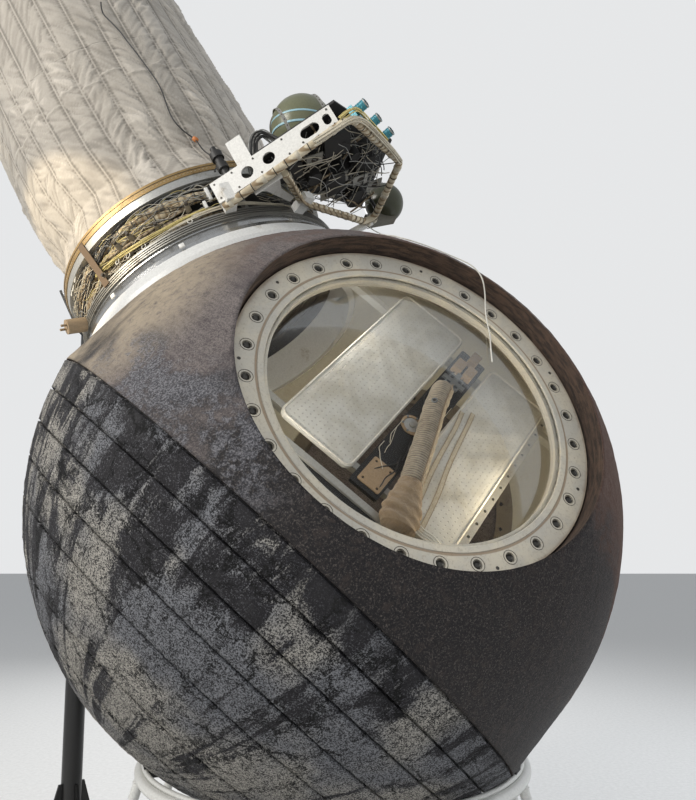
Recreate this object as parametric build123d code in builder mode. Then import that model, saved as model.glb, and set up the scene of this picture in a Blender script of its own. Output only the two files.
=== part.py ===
from build123d import *
from math import asin, atan2, cos, degrees, hypot, pi, radians, sin, sqrt, tan
import os

# Spherical descent capsule with its bolted ring hatch and clear dome, its deployed fabric airlock with the
# equipment bay and outrigger console, and the ring stand and column that carry it.
# Frame: +X to the capsule's right, +Y to its back, +Z up. The origin is on the floor below the ball's centre.

os.makedirs("parts", exist_ok=True)

# Ball
ball_radius = 1150.0
ball_height = 1540.0
shell_wall = 130.0
liner_wall = 14.0
belt_length = 280.0
cap_centre = 60.0
seam_width = 8.0
seam_depth = 12.0
seam_offsets = [-390.0, -500.0, -610.0, -720.0, -885.0, -985.0]
shield_azimuth, shield_elevation = 12.0, 47.0

# Clearances
seat_gap = 0.3
running_gap = 0.05
arm_gap = 0.5
door_gap = 5.0

# Side hatch and its clear dome; the ring lies in the recess, and each radius follows the one outside it
hatch_azimuth, hatch_elevation = -66.0, 25.0
recess_radius = 640.0
recess_depth = 81.5
recess_gap = 6.0
seat_thickness = 44.0
seat_lap = 25.0
frame_thickness = 40.0
frame_width = 119.0
bolt_edge = 49.0
bolt_count = 30
bolt_phase = 8.5
bolt_hole_radius = 9.0
counterbore_radius = 16.0
counterbore_depth = 10.0
rebate_width = 35.0
rebate_depth = 12.0
dome_rim_gap = 2.0
dome_rim_width = 23.0
dome_bulge = 140.0
dome_wall = 6.0
retainer_width = 22.0
retainer_thickness = 8.0

# Airlock: radii step out from the bay's inner wall, and heights stack up from the ball
airlock_azimuth, airlock_elevation = 160.0, 61.0
bay_wall_radius = 500.0
bay_wall_thickness = 10.0
bay_depth = 106.0
bore_step = 60.0
collar_wall = 30.0
collar_flange = 97.0
collar_taper = 17.0
collar_skirt = 12.5
collar_lip = 21.2
collar_cone = 45.0
adapter_height = 78.0
adapter_step = 6.0
adapter_flare = 0.3
adapter_edge = 8.0
adapter_bore_step = 45.0
bay_ring_height = 37.0
bay_ring_step = 6.0
bay_ring_ribs = 4
rib_depth = 7.0
bay_floor_thickness = 6.0
bay_floor_lip = 10.0
bay_height = 175.0
post_count = 10
post_phase = 8.0
post_offset = 45.0
post_width = 14.0
post_depth = 26.0
canister_radius = 24.0
canister_height = 92.0
canister_offset = 27.0
first_canister, canister_count = 3, 5
side_valve_angle = 208.0
side_valve_drop = 10.0
side_valve_radius = 30.0
side_valve_length = 84.0
side_valve_root = 20.0
prong_radius = 5.0
prong_length = 24.0
prong_spacing = 28.0
upper_ring_height = 35.0
clamp_step = 3.0
clamp_wall = 12.0
clamp_height = 33.0
sleeve_wall = 35.0
sleeve_length = 1922.0
sleeve_foot_length = 10.0
sleeve_draw_in = 11.7
top_shift = -60.0
top_ring_step = 15.0
top_ring_lap = 2.0
top_ring_height = 60.0
bulkhead_thickness = 14.0
doorway_radius = 325.0
handrail_radius = 11.0
handrail_inset = 95.0
handrail_height = 75.0
handrail_arc = 80.0
handrail_posts = 3
handrail_post_radius = 9.0
post_turn_in = 2.0

# Outer hatch of the airlock, hinged to open inwards
door_lap = 17.0
door_thickness = 18.0
door_rib_height = 22.0
door_rib_width = 16.0
door_rib_inset = 20.0
door_hub_radius = 70.0
hinge_reach = 38.0
hinge_drop = 26.0
hinge_pin_radius = 9.0
hinge_pin_end = 4.0
hinge_eye_radius = 17.0
hinge_arm_width = 34.0
hinge_arm_height = 14.0
hinge_arm_lap = 40.0
hinge_arm_drop = 2.0
hinge_arm_spread = 180.0
lug_width = 16.0

# Outrigger console beside the bay; u and v lie across the airlock's axis
console_lift = 5.0
console_tube_radius = 15.0
frame_bend_radius = 45.0
shelf_thickness = 10.0
shelf_leg_radius = 8.0
bar_start = (131.0, -645.0)
bar_end = (641.0, -798.0)
bar_height = 96.0
bar_flange = 34.0
bar_wall = 5.0
bar_hole_radius = 25.0
long_slot, end_slot = (78.0, 48.0), (48.0, 30.0)
console_corner = (678.0, -850.0)
console_far = (908.0, -456.0)
console_low = (786.0, -106.0)
console_inner = (459.0, -467.0)
console_end = (398.0, -680.0)
large_bottle_radius = 128.0
large_bottle_place = (590.0, -560.0)
large_bottle_lift = 4.0
bottle_neck_radius = 16.0
bottle_neck_length = 26.0
bottle_seat_width = 26.0
bottle_seat_height = 34.0
bottle_strap_width = 22.0
bottle_strap_thickness = 6.0
small_bottle_radius = 92.0
small_bottle_place = (905.0, -60.0)
small_bottle_lift = 85.0
bottle_arm_length, bottle_arm_width, bottle_arm_height = 150.0, 40.0, 50.0
bottle_arm_drop = 6.0
connector_radius = 18.0
connector_length = 56.0
connector_rail_length, connector_rail_width, connector_rail_height = 300.0, 22.0, 54.0
connector_shares = (0.16, 0.42, 0.68)

# Stand
stand_centre = (28.0, 4.0)
cradle_ring_level = 615.0
cradle_clearance = 50.8
cradle_tube_radius = 9.0
collar_ring_drop = 27.0
collar_ring_growth = 14.0
collar_tube_radius = 21.0
leg_count = 8
leg_phase = 20.0
leg_tube_radius = 19.0
floor_ring_growth = 158.0
floor_tube_radius = 16.0
block_height = 60.0
block_side = 110.0
foot_plate_inset = 8.0
pad_width = 70.0
pad_height = 46.0
pad_reach = 70.0

# Column under the airlock
column_shift = 17.0
column_radius = 45.0
column_wall = 7.0
column_plate_side = 360.0
column_plate_thickness = 12.0
column_plate_corner = 14.0
column_hole_inset = 35.0
column_hole_radius = 9.0
gusset_height = 350.0
gusset_reach = 110.0
gusset_toe = 24.0
gusset_head = 14.0
gusset_thickness = 10.0
saddle_drop = 4.0
saddle_length = 224.0
saddle_wall = 12.0
saddle_half_angle = 22.0

# Cabin pieces seen through the dome; x runs along the panels and y across them, all in one turned plane
panel_turn = 55.5
panel_depth = 214.0
panel_thickness = 24.0
panel_corner = 30.0
rail_depth = 30.0
rail_width = 26.0
rail_places = (-200.0, 520.0)
front_rail_place = -320.0
front_rail_drop = 4.0
spine_thickness = 16.0
spine_place, spine_size, spine_corner = (160.0, -46.0), (860.0, 116.0), 8.0
holed_rail_width = 28.0
holed_rail_middle = 170.0
holed_rail_length = 820.0
rail_hole_radius = 6.0
rail_hole_count = 12
rail_hole_pitch = 68.0
block_places, block_size, block_corner = ((560.0, -50.0), (478.0, -70.0), (478.0, -20.0)), (58.0, 40.0), 6.0
block_thickness = 34.0
dial_place, dial_radius, dial_width = (90.0, -30.0), 42.0, 10.0
plate_place, plate_size, plate_corner = (-190.0, -50.0), (120.0, 90.0), 8.0
plate_hole_radius, plate_hole_inset = 5.0, 15.0
plate_thickness = 5.0
buckle_place = (372.0, -44.0)
buckle_hub_radius = 26.0
buckle_stem = 26.0
buckle_thickness = 9.0
buckle_bar, buckle_arm, buckle_body = (118.0, 20.0), (20.0, 96.0), (70.0, 62.0)
buckle_window, buckle_window_pitch = (16.0, 14.0), (36.0, 34.0)
hose_radius = 43.0
hose_bend_radius = 260.0
cuff_lift = 8.0
strap_width = 18.0
strap_thickness = 3.0
box_place, box_size, box_corner = 50.0, (120.0, 400.0), 12.0
box_drop, box_height = 90.0, 100.0

centre = Vector(0, 0, ball_height)


def direction(azimuth, elevation):
    """Unit vector at an azimuth about +Z and an elevation above the floor, both in degrees."""
    flat = cos(radians(elevation))
    return Vector(flat * cos(radians(azimuth)), flat * sin(radians(azimuth)), sin(radians(elevation)))


def facing(outward, distance=0.0):
    """Plane across an axis through the ball's centre: local X is to the right, Z points outwards."""
    across = (Vector(1, 0, 0) - outward * outward.X).normalized()
    return Plane(origin=centre + outward * distance, x_dir=across, z_dir=outward)


def section(outward):
    """Plane that holds an axis: local X is the radius and local Y the distance along the axis."""
    across = facing(outward).x_dir
    return Plane(origin=centre, x_dir=across, z_dir=across.cross(outward))


def turned(plane, angle):
    """The plane turned about its own normal by an angle in degrees."""
    across = plane.x_dir * cos(radians(angle)) + plane.y_dir * sin(radians(angle))
    return Plane(origin=plane.origin, x_dir=across, z_dir=plane.z_dir)


def radial_section(plane, angle):
    """Plane through the given plane's normal at an angle about it: local X is the radius, Y the normal."""
    across = turned(plane, angle).x_dir
    return Plane(origin=plane.origin, x_dir=across, z_dir=across.cross(plane.z_dir))


def on_sphere(radius, sphere_radius):
    """Distance along an axis at which a circle of this radius lies on a sphere about the centre."""
    return sqrt(sphere_radius**2 - radius**2)


shield_axis = direction(shield_azimuth, shield_elevation)
hatch_axis = direction(hatch_azimuth, hatch_elevation)
airlock_axis = direction(airlock_azimuth, airlock_elevation)
mirror_normal = shield_axis.cross(airlock_axis).normalized()
rear_axis = hatch_axis - mirror_normal * (2 * hatch_axis.dot(mirror_normal))
cabin_radius = ball_radius - shell_wall
cap_radius = hypot(ball_radius, belt_length + cap_centre)
cap_start = -degrees(atan2(belt_length + cap_centre, ball_radius))
cabin_edge_radius = on_sphere(belt_length, cabin_radius)
cabin_start = -degrees(asin(belt_length / cabin_radius))

# Hatch sizes, from the recess inwards
frame_face = on_sphere(recess_radius, ball_radius) - recess_depth
seat_top = frame_face - frame_thickness
seat_bottom = seat_top - seat_thickness
frame_outer_radius = recess_radius - recess_gap
frame_inner_radius = frame_outer_radius - frame_width
bolt_circle_radius = frame_outer_radius - bolt_edge
seat_inner_radius = bolt_circle_radius - seat_lap
rebate_radius = frame_inner_radius + rebate_width
dome_rim_radius = rebate_radius - dome_rim_gap
dome_base_radius = dome_rim_radius - dome_rim_width
retainer_inner_radius = rebate_radius - retainer_width

# Airlock radii, from the bay's inner wall outwards
airlock_bore_radius = bay_wall_radius + bore_step
collar_inner_radius = airlock_bore_radius - collar_wall
collar_outer_radius = airlock_bore_radius + collar_flange
collar_top_radius = collar_outer_radius - collar_taper
adapter_foot_radius = collar_top_radius - adapter_step
adapter_inner_radius = bay_wall_radius + adapter_bore_step
upper_ring_radius = bay_wall_radius + bay_depth
bay_ring_radius = upper_ring_radius + bay_ring_step
adapter_head_radius = bay_ring_radius - adapter_edge
post_circle_radius = bay_wall_radius + post_offset
canister_circle_radius = bay_wall_radius + canister_offset
clamp_radius = upper_ring_radius + clamp_step
sleeve_foot_radius = clamp_radius - clamp_wall - seat_gap
sleeve_top_radius = sleeve_foot_radius - sleeve_draw_in
top_ring_radius = sleeve_top_radius + top_ring_step
top_ring_inner_radius = sleeve_top_radius - sleeve_wall - top_ring_lap
handrail_circle = top_ring_radius - handrail_inset

# Airlock levels, along its axis from the ball's centre
collar_bottom = on_sphere(airlock_bore_radius, cabin_radius) - collar_skirt
collar_edge = on_sphere(collar_outer_radius, ball_radius) + collar_lip
collar_top = collar_edge + collar_cone
adapter_top = collar_top + adapter_height
bay_ring_top = adapter_top + bay_ring_height
bay_top = bay_ring_top + bay_height
upper_ring_top = bay_top + upper_ring_height
clamp_top = upper_ring_top + clamp_height
sleeve_top = clamp_top + sleeve_length
side_valve_level = bay_ring_top - side_valve_drop
side_valve_reach = upper_ring_radius + side_valve_length
console_level = bay_ring_top + console_lift
small_bottle_level = console_level + small_bottle_lift
saddle_bottom = bay_top - saddle_drop
saddle_top = saddle_bottom + saddle_length

# Outer hatch, stand, column and cabin
door_radius = doorway_radius + door_lap
hinge_offset = door_radius + hinge_reach
cradle_ring_radius = on_sphere(ball_height - cradle_ring_level, ball_radius) + cradle_clearance
column_bore = column_radius - column_wall
column_hole_spacing = column_plate_side - 2 * column_hole_inset
panel_face = frame_face - panel_depth

# Outline of the whole ball with a small gap, used to seat what touches it
with BuildPart() as ball_outline:
    with BuildSketch(section(shield_axis)):
        with BuildLine():
            CenterArc((0, 0), ball_radius + seat_gap, 0, 90)
            Line((ball_radius + seat_gap, 0), (ball_radius + seat_gap, -belt_length))
            gap_arc = CenterArc((0, cap_centre), cap_radius + seat_gap, cap_start, -90 - cap_start)
            Line((ball_radius + seat_gap, -belt_length), gap_arc @ 0)
            Line(gap_arc @ 1, (0, ball_radius + seat_gap))
        make_face()
    revolve(axis=Axis(centre, shield_axis))

# Leeward half of the ball, with its three round openings
with BuildPart() as leeward_shell:
    with BuildSketch(section(shield_axis)):
        with BuildLine():
            CenterArc((0, 0), ball_radius, 0, 90)
            Line((ball_radius, 0), (ball_radius, -belt_length))
            Line((ball_radius, -belt_length), (cabin_edge_radius, -belt_length))
            CenterArc((0, 0), cabin_radius, cabin_start, 90 - cabin_start)
            Line((0, cabin_radius), (0, ball_radius))
        make_face()
    revolve(axis=Axis(centre, shield_axis))
    for outward in (hatch_axis, rear_axis):
        with BuildSketch(facing(outward, belt_length)):
            Circle(recess_radius)
        extrude(amount=ball_radius, mode=Mode.SUBTRACT)
    with BuildSketch(facing(airlock_axis, belt_length)):
        Circle(airlock_bore_radius)
    extrude(amount=ball_radius, mode=Mode.SUBTRACT)
    with BuildSketch(section(airlock_axis)):
        with BuildLine():
            seat_edge = collar_outer_radius + door_gap
            seat_start = degrees(atan2(on_sphere(seat_edge, ball_radius), seat_edge))
            seat_arc = CenterArc((0, 0), ball_radius, seat_start, 90 - seat_start)
            Polyline(seat_arc @ 0, (seat_edge, 2 * ball_radius), (0, 2 * ball_radius), seat_arc @ 1)
        make_face()
    revolve(axis=Axis(centre, airlock_axis), mode=Mode.SUBTRACT)
leeward_shell.part.label = "leeward_shell"
export_step(leeward_shell.part, "parts/leeward_shell.step")

# Windward heat shield, a blunter cap with turned seams
with BuildPart() as windward_shield:
    with BuildSketch(section(shield_axis)):
        with BuildLine():
            CenterArc((0, cap_centre), cap_radius, cap_start, -90 - cap_start)
            Line((0, cap_centre - cap_radius), (0, -cabin_radius))
            CenterArc((0, 0), cabin_radius, -90, 90 + cabin_start)
            Line((cabin_edge_radius, -belt_length), (ball_radius, -belt_length))
        make_face()
        with Locations((ball_radius, -belt_length)):
            Rectangle(2 * seam_depth, 2 * seam_width, mode=Mode.SUBTRACT)
        for offset_along in seam_offsets:
            lean = degrees(asin((offset_along - cap_centre) / cap_radius))
            with Locations((cap_radius * cos(radians(lean)), offset_along)):
                Rectangle(2 * seam_depth, seam_width, rotation=lean, mode=Mode.SUBTRACT)
    revolve(axis=Axis(centre, shield_axis))
windward_shield.part.label = "windward_shield"
export_step(windward_shield.part, "parts/windward_shield.step")

# Thin cabin lining inside both halves
with BuildPart() as cabin_liner:
    with Locations(Location(centre)):
        Sphere(cabin_radius - seat_gap)
        Sphere(cabin_radius - seat_gap - liner_wall, mode=Mode.SUBTRACT)
    hatch_holes = [(hatch_axis, recess_radius), (rear_axis, recess_radius)]
    for outward, radius in [*hatch_holes, (airlock_axis, airlock_bore_radius)]:
        with BuildSketch(facing(outward, belt_length)):
            Circle(radius + seat_gap)
        extrude(amount=ball_radius, mode=Mode.SUBTRACT)
cabin_liner.part.label = "cabin_liner"
export_step(cabin_liner.part, "parts/cabin_liner.step")

# Hull rings that the side hatch frame and the rear cover are bolted to
with BuildPart() as hatch_seats:
    for outward in (hatch_axis, rear_axis):
        with BuildSketch(facing(outward, seat_bottom)):
            Circle(recess_radius - seat_gap)
            Circle(seat_inner_radius, mode=Mode.SUBTRACT)
            with PolarLocations(bolt_circle_radius, bolt_count, start_angle=bolt_phase):
                Circle(bolt_hole_radius, mode=Mode.SUBTRACT)
        extrude(amount=seat_top - seat_bottom)
hatch_seats.part.label = "hatch_seats"
export_step(hatch_seats.part, "parts/hatch_seats.step")

# Bolted ring of the side hatch
with BuildPart() as hatch_frame:
    with BuildSketch(facing(hatch_axis, seat_top)):
        Circle(frame_outer_radius)
        Circle(frame_inner_radius, mode=Mode.SUBTRACT)
        with PolarLocations(bolt_circle_radius, bolt_count, start_angle=bolt_phase):
            Circle(bolt_hole_radius, mode=Mode.SUBTRACT)
    extrude(amount=frame_thickness)
    with BuildSketch(facing(hatch_axis, frame_face - counterbore_depth)):
        with PolarLocations(bolt_circle_radius, bolt_count, start_angle=bolt_phase):
            Circle(counterbore_radius)
    extrude(amount=counterbore_depth, mode=Mode.SUBTRACT)
    with BuildSketch(facing(hatch_axis, frame_face - rebate_depth)):
        Circle(rebate_radius)
    extrude(amount=rebate_depth, mode=Mode.SUBTRACT)
hatch_frame.part.label = "hatch_frame"
export_step(hatch_frame.part, "parts/hatch_frame.step")

# Clear shallow dome over the hatch, with a flat rim
dome_seat = frame_face - rebate_depth
dome_base = dome_seat + dome_wall
dome_sphere = (dome_base_radius**2 + dome_bulge**2) / (2 * dome_bulge)
dome_centre = dome_base + dome_bulge - dome_sphere
dome_inner_foot = sqrt((dome_sphere - dome_wall) ** 2 - (dome_seat - dome_centre) ** 2)
with BuildPart() as hatch_dome:
    with BuildSketch(section(hatch_axis)):
        with BuildLine():
            outer_start = degrees(atan2(dome_base - dome_centre, dome_base_radius))
            CenterArc((0, dome_centre), dome_sphere, outer_start, 90 - outer_start)
            inner_start = degrees(atan2(dome_seat - dome_centre, dome_inner_foot))
            CenterArc((0, dome_centre), dome_sphere - dome_wall, inner_start, 90 - inner_start)
            Line((0, dome_base + dome_bulge), (0, dome_base + dome_bulge - dome_wall))
            Polyline((dome_inner_foot, dome_seat), (dome_rim_radius, dome_seat), (dome_rim_radius, dome_base),
                     (dome_base_radius, dome_base))
        make_face()
    revolve(axis=Axis(centre, hatch_axis))
hatch_dome.part.label = "hatch_dome"
export_step(hatch_dome.part, "parts/hatch_dome.step")

# Retaining ring that holds the dome's rim down
with BuildPart() as dome_retainer:
    with BuildSketch(facing(hatch_axis, dome_base)):
        Circle(rebate_radius - seat_gap)
        Circle(retainer_inner_radius, mode=Mode.SUBTRACT)
    extrude(amount=retainer_thickness)
    chamfer(dome_retainer.faces().sort_by(Axis(centre, hatch_axis))[-1].edges(), retainer_thickness / 4)
dome_retainer.part.label = "dome_retainer"
export_step(dome_retainer.part, "parts/dome_retainer.step")

# Closed cover of the rear opening, flush with the ball
with BuildPart() as rear_hatch_cover:
    with BuildSketch(section(rear_axis)):
        with BuildLine():
            cover_edge = on_sphere(frame_outer_radius, ball_radius)
            cover_start = degrees(atan2(cover_edge, frame_outer_radius))
            CenterArc((0, 0), ball_radius, cover_start, 90 - cover_start)
            inner_foot = on_sphere(seat_top, cabin_radius)
            inner_start = degrees(atan2(seat_top, inner_foot))
            CenterArc((0, 0), cabin_radius, inner_start, 90 - inner_start)
            Line((0, cabin_radius), (0, ball_radius))
            Polyline((inner_foot, seat_top), (frame_outer_radius, seat_top), (frame_outer_radius, cover_edge))
        make_face()
    revolve(axis=Axis(centre, rear_axis))
rear_hatch_cover.part.label = "rear_hatch_cover"
export_step(rear_hatch_cover.part, "parts/rear_hatch_cover.step")

# White conical collar of the airlock, seated on the ball
with BuildPart() as airlock_collar:
    with BuildSketch(section(airlock_axis)):
        with BuildLine():
            under_radius = ball_radius + seat_gap
            neck_radius = airlock_bore_radius - seat_gap
            start = degrees(atan2(on_sphere(collar_outer_radius, under_radius), collar_outer_radius))
            stop = degrees(atan2(on_sphere(neck_radius, under_radius), neck_radius))
            under = CenterArc((0, 0), under_radius, start, stop - start)
            Polyline(under @ 1, (neck_radius, collar_bottom), (collar_inner_radius, collar_bottom),
                     (collar_inner_radius, collar_top), (collar_top_radius, collar_top),
                     (collar_outer_radius, collar_edge), under @ 0)
        make_face()
    revolve(axis=Axis(centre, airlock_axis))
airlock_collar.part.label = "airlock_collar"
export_step(airlock_collar.part, "parts/airlock_collar.step")

# Polished adapter above the collar
with BuildPart() as airlock_adapter:
    with BuildSketch(section(airlock_axis)):
        with BuildLine():
            flare = collar_top + adapter_flare * adapter_height
            Polyline((adapter_inner_radius, collar_top), (adapter_foot_radius, collar_top),
                     (adapter_foot_radius - adapter_step, flare),
                     (adapter_head_radius, adapter_top - adapter_edge), (adapter_head_radius, adapter_top),
                     (adapter_inner_radius, adapter_top), close=True)
        make_face()
    revolve(axis=Axis(centre, airlock_axis))
airlock_adapter.part.label = "airlock_adapter"
export_step(airlock_adapter.part, "parts/airlock_adapter.step")

# Ribbed lower ring of the equipment bay
with BuildPart() as bay_lower_ring:
    with BuildSketch(section(airlock_axis)):
        rib_pitch = (bay_ring_top - adapter_top) / bay_ring_ribs
        with BuildLine():
            Polyline((adapter_inner_radius, adapter_top), (bay_ring_radius, adapter_top),
                     (bay_ring_radius, bay_ring_top), (adapter_inner_radius, bay_ring_top), close=True)
        make_face()
        for rib in range(bay_ring_ribs):
            with Locations((bay_ring_radius, adapter_top + rib * rib_pitch)):
                Rectangle(2 * rib_depth, rib_pitch / 2, mode=Mode.SUBTRACT)
    revolve(axis=Axis(centre, airlock_axis))
bay_lower_ring.part.label = "bay_lower_ring"
export_step(bay_lower_ring.part, "parts/bay_lower_ring.step")

# Dark inner wall of the bay
with BuildPart() as bay_wall:
    with BuildSketch(facing(airlock_axis, bay_ring_top)):
        Circle(bay_wall_radius)
        Circle(bay_wall_radius - bay_wall_thickness, mode=Mode.SUBTRACT)
    extrude(amount=bay_top - bay_ring_top)
    with BuildSketch(facing(airlock_axis, bay_ring_top)):
        Circle(adapter_inner_radius + bay_floor_lip)
        Circle(bay_wall_radius, mode=Mode.SUBTRACT)
    extrude(amount=bay_floor_thickness)
bay_wall.part.label = "bay_wall"
export_step(bay_wall.part, "parts/bay_wall.step")

# Posts between the bay's floor and its upper ring
foot_level = bay_ring_top + bay_floor_thickness
with BuildPart() as bay_posts:
    with BuildSketch(facing(airlock_axis, foot_level)):
        with PolarLocations(post_circle_radius, post_count, start_angle=post_phase):
            Rectangle(post_depth, post_width)
    extrude(amount=bay_top - foot_level)
bay_posts.part.label = "bay_posts"
export_step(bay_posts.part, "parts/bay_posts.step")

# Pale steel ring on top of the bay
with BuildPart() as bay_upper_ring:
    with BuildSketch(facing(airlock_axis, bay_top)):
        Circle(upper_ring_radius)
        Circle(bay_wall_radius - bay_wall_thickness, mode=Mode.SUBTRACT)
    extrude(amount=upper_ring_top - bay_top)
bay_upper_ring.part.label = "bay_upper_ring"
export_step(bay_upper_ring.part, "parts/bay_upper_ring.step")

# Band that clamps the sleeve's foot
with BuildPart() as sleeve_clamp:
    with BuildSketch(facing(airlock_axis, upper_ring_top)):
        Circle(clamp_radius)
        Circle(clamp_radius - clamp_wall, mode=Mode.SUBTRACT)
    extrude(amount=clamp_top - upper_ring_top)
sleeve_clamp.part.label = "sleeve_clamp"
export_step(sleeve_clamp.part, "parts/sleeve_clamp.step")

# Fabric sleeve: share of its length, how far it draws in from its foot, share of the top's sideways shift
sleeve_table = [
    (0.0869, 48.7, 0.20),
    (0.1727, 16.7, 0.50),
    (0.3028, 11.7, 0.70),
    (0.5890, 13.7, 0.90),
    (1.0, sleeve_draw_in, 1.0),
]
sleeve_sections = [
    (upper_ring_top, 0.0, 0.0),
    (clamp_top + sleeve_foot_length, 0.0, 0.0),
    *[(clamp_top + share * sleeve_length, draw_in, shift) for share, draw_in, shift in sleeve_table],
]

# The sleeve's lengths of cloth: node, its first section and its last
for sleeve_name, first_section, last_section in (
    ("airlock_sleeve", 0, 4),
    ("sleeve_middle", 4, 5),
    ("sleeve_head", 5, 6),
):
    with BuildPart() as sleeve_cloth:
        for inset, mode in ((0.0, Mode.ADD), (sleeve_wall, Mode.SUBTRACT)):
            for level, draw_in, shift in sleeve_sections[first_section:last_section + 1]:
                with BuildSketch(facing(airlock_axis, level)):
                    with Locations((shift * top_shift, 0)):
                        Circle(sleeve_foot_radius - draw_in - inset)
            loft(ruled=True, mode=mode)
    sleeve_cloth.part.label = sleeve_name
    export_step(sleeve_cloth.part, "parts/" + sleeve_name + ".step")

# Rigid ring at the sleeve's far end
bulkhead_level = sleeve_top + top_ring_height
with BuildPart() as top_ring:
    with BuildSketch(facing(airlock_axis, sleeve_top)):
        with Locations((top_shift, 0)):
            Circle(top_ring_radius)
            Circle(top_ring_inner_radius, mode=Mode.SUBTRACT)
    extrude(amount=top_ring_height)
top_ring.part.label = "top_ring"
export_step(top_ring.part, "parts/top_ring.step")

# End bulkhead with the outer doorway, and the two hinge lugs under it
hinge_level = bulkhead_level - hinge_drop
lug_reach = (hinge_arm_width + lug_width) / 2 + arm_gap
lug_places = [side * (hinge_arm_spread / 2 + reach) for side in (-1, 1) for reach in (-lug_reach, lug_reach)]
top_plane = facing(airlock_axis, bulkhead_level)


def hinge_plane(across):
    """Plane across the hinge line at a distance along it: local X leads from the doorway, Y outwards."""
    at = facing(airlock_axis, hinge_level).from_local_coords(Vector(top_shift + across, hinge_offset, 0))
    return Plane(origin=at, x_dir=top_plane.y_dir, z_dir=top_plane.x_dir)


with BuildPart() as top_bulkhead:
    with BuildSketch(top_plane):
        with Locations((top_shift, 0)):
            Circle(top_ring_radius)
            Circle(doorway_radius, mode=Mode.SUBTRACT)
    extrude(amount=bulkhead_thickness)
    for across in lug_places:
        with BuildSketch(hinge_plane(across)):
            Circle(hinge_eye_radius)
            with Locations((0, hinge_drop / 2)):
                Rectangle(2 * hinge_eye_radius, hinge_drop)
            Circle(hinge_pin_radius + running_gap, mode=Mode.SUBTRACT)
        extrude(amount=lug_width / 2, both=True)
top_bulkhead.part.label = "top_bulkhead"
export_step(top_bulkhead.part, "parts/top_bulkhead.step")

# Hinge pins, held by the lugs
pin_length = hinge_arm_width + 2 * (lug_width + hinge_pin_end)
with BuildPart() as hinge_pins:
    for side in (-1, 1):
        with BuildSketch(hinge_plane(side * hinge_arm_spread / 2)):
            Circle(hinge_pin_radius)
        extrude(amount=pin_length / 2, both=True)
hinge_pins.part.label = "hinge_pins"
export_step(hinge_pins.part, "parts/hinge_pins.step")

# Outer hatch: a dished disc with stiffening ribs and two hinge arms
door_face = bulkhead_level - door_gap
with BuildPart() as outer_hatch:
    with BuildSketch(facing(airlock_axis, door_face - door_thickness)):
        with Locations((top_shift, 0)):
            Circle(door_radius)
    extrude(amount=door_thickness)
    with BuildSketch(facing(airlock_axis, door_face - door_thickness - door_rib_height)):
        with Locations((top_shift, 0)):
            Circle(door_radius - door_rib_inset)
            Circle(door_radius - door_rib_inset - door_rib_width, mode=Mode.SUBTRACT)
            for turn in (0, 60, 120):
                Rectangle(2 * (door_radius - door_rib_inset) - door_rib_width, door_rib_width, rotation=turn)
            Circle(door_hub_radius)
    extrude(amount=door_rib_height)
    for side in (-1, 1):
        with BuildSketch(hinge_plane(side * hinge_arm_spread / 2)):
            Circle(hinge_eye_radius)
            with Locations((-hinge_reach - hinge_arm_lap / 2, -hinge_arm_drop)):
                Rectangle(2 * hinge_reach + hinge_arm_lap, hinge_arm_height)
            Circle(hinge_pin_radius + running_gap, mode=Mode.SUBTRACT)
        extrude(amount=hinge_arm_width / 2, both=True)
outer_hatch.part.label = "outer_hatch"
export_step(outer_hatch.part, "parts/outer_hatch.step")

# Handrails on the end bulkhead
with BuildPart() as top_handrails:
    top_centre = top_plane.from_local_coords(Vector(top_shift, 0, 0))
    door_plane = Plane(origin=top_centre, x_dir=top_plane.x_dir, z_dir=airlock_axis)
    for middle in (0, 180):
        with BuildLine(door_plane.offset(bulkhead_thickness + handrail_height)):
            rail = CenterArc((0, 0), handrail_circle, middle - handrail_arc / 2, handrail_arc)
        with BuildSketch(Plane(origin=rail @ 0, z_dir=rail % 0)):
            Circle(handrail_radius)
        sweep(path=rail)
        with BuildSketch(door_plane.offset(bulkhead_thickness)):
            first_post = middle - handrail_arc / 2 + post_turn_in
            with PolarLocations(handrail_circle, handrail_posts, start_angle=first_post,
                                angular_range=handrail_arc - 2 * post_turn_in, endpoint=True):
                Circle(handrail_post_radius)
        extrude(amount=handrail_height)
top_handrails.part.label = "top_handrails"
export_step(top_handrails.part, "parts/top_handrails.step")

# Taped conduits: share of the bay's height, tube radius, start angle, arc; the outer set leans on the posts
bay = facing(airlock_axis)
post_face = post_circle_radius + post_depth / 2
outer_conduits = [
    (0.12, 15.0, 172.0, 118.0),
    (0.326, 18.0, 196.0, 84.0),
    (0.554, 16.0, 150.0, 104.0),
    (0.783, 19.0, 205.0, 78.0),
    (0.20, 16.0, 20.0, 130.0),
    (0.657, 15.0, -20.0, 150.0),
]
inner_conduits = [
    (0.143, 14.0, -50.0, 160.0),
    (0.429, 14.0, -30.0, 150.0),
    (0.783, 12.0, 130.0, 170.0),
]
with BuildPart() as bay_conduits:
    for seat_radius, conduits in ((post_face, outer_conduits), (bay_wall_radius, inner_conduits)):
        for share, tube_radius, start, arc in conduits:
            with BuildSketch(radial_section(bay, start)):
                with Locations((seat_radius + seat_gap + tube_radius, bay_ring_top + share * bay_height)):
                    Circle(tube_radius)
            revolve(axis=Axis(centre, airlock_axis), revolution_arc=arc)
bay_conduits.part.label = "bay_conduits"
export_step(bay_conduits.part, "parts/bay_conduits.step")

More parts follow.
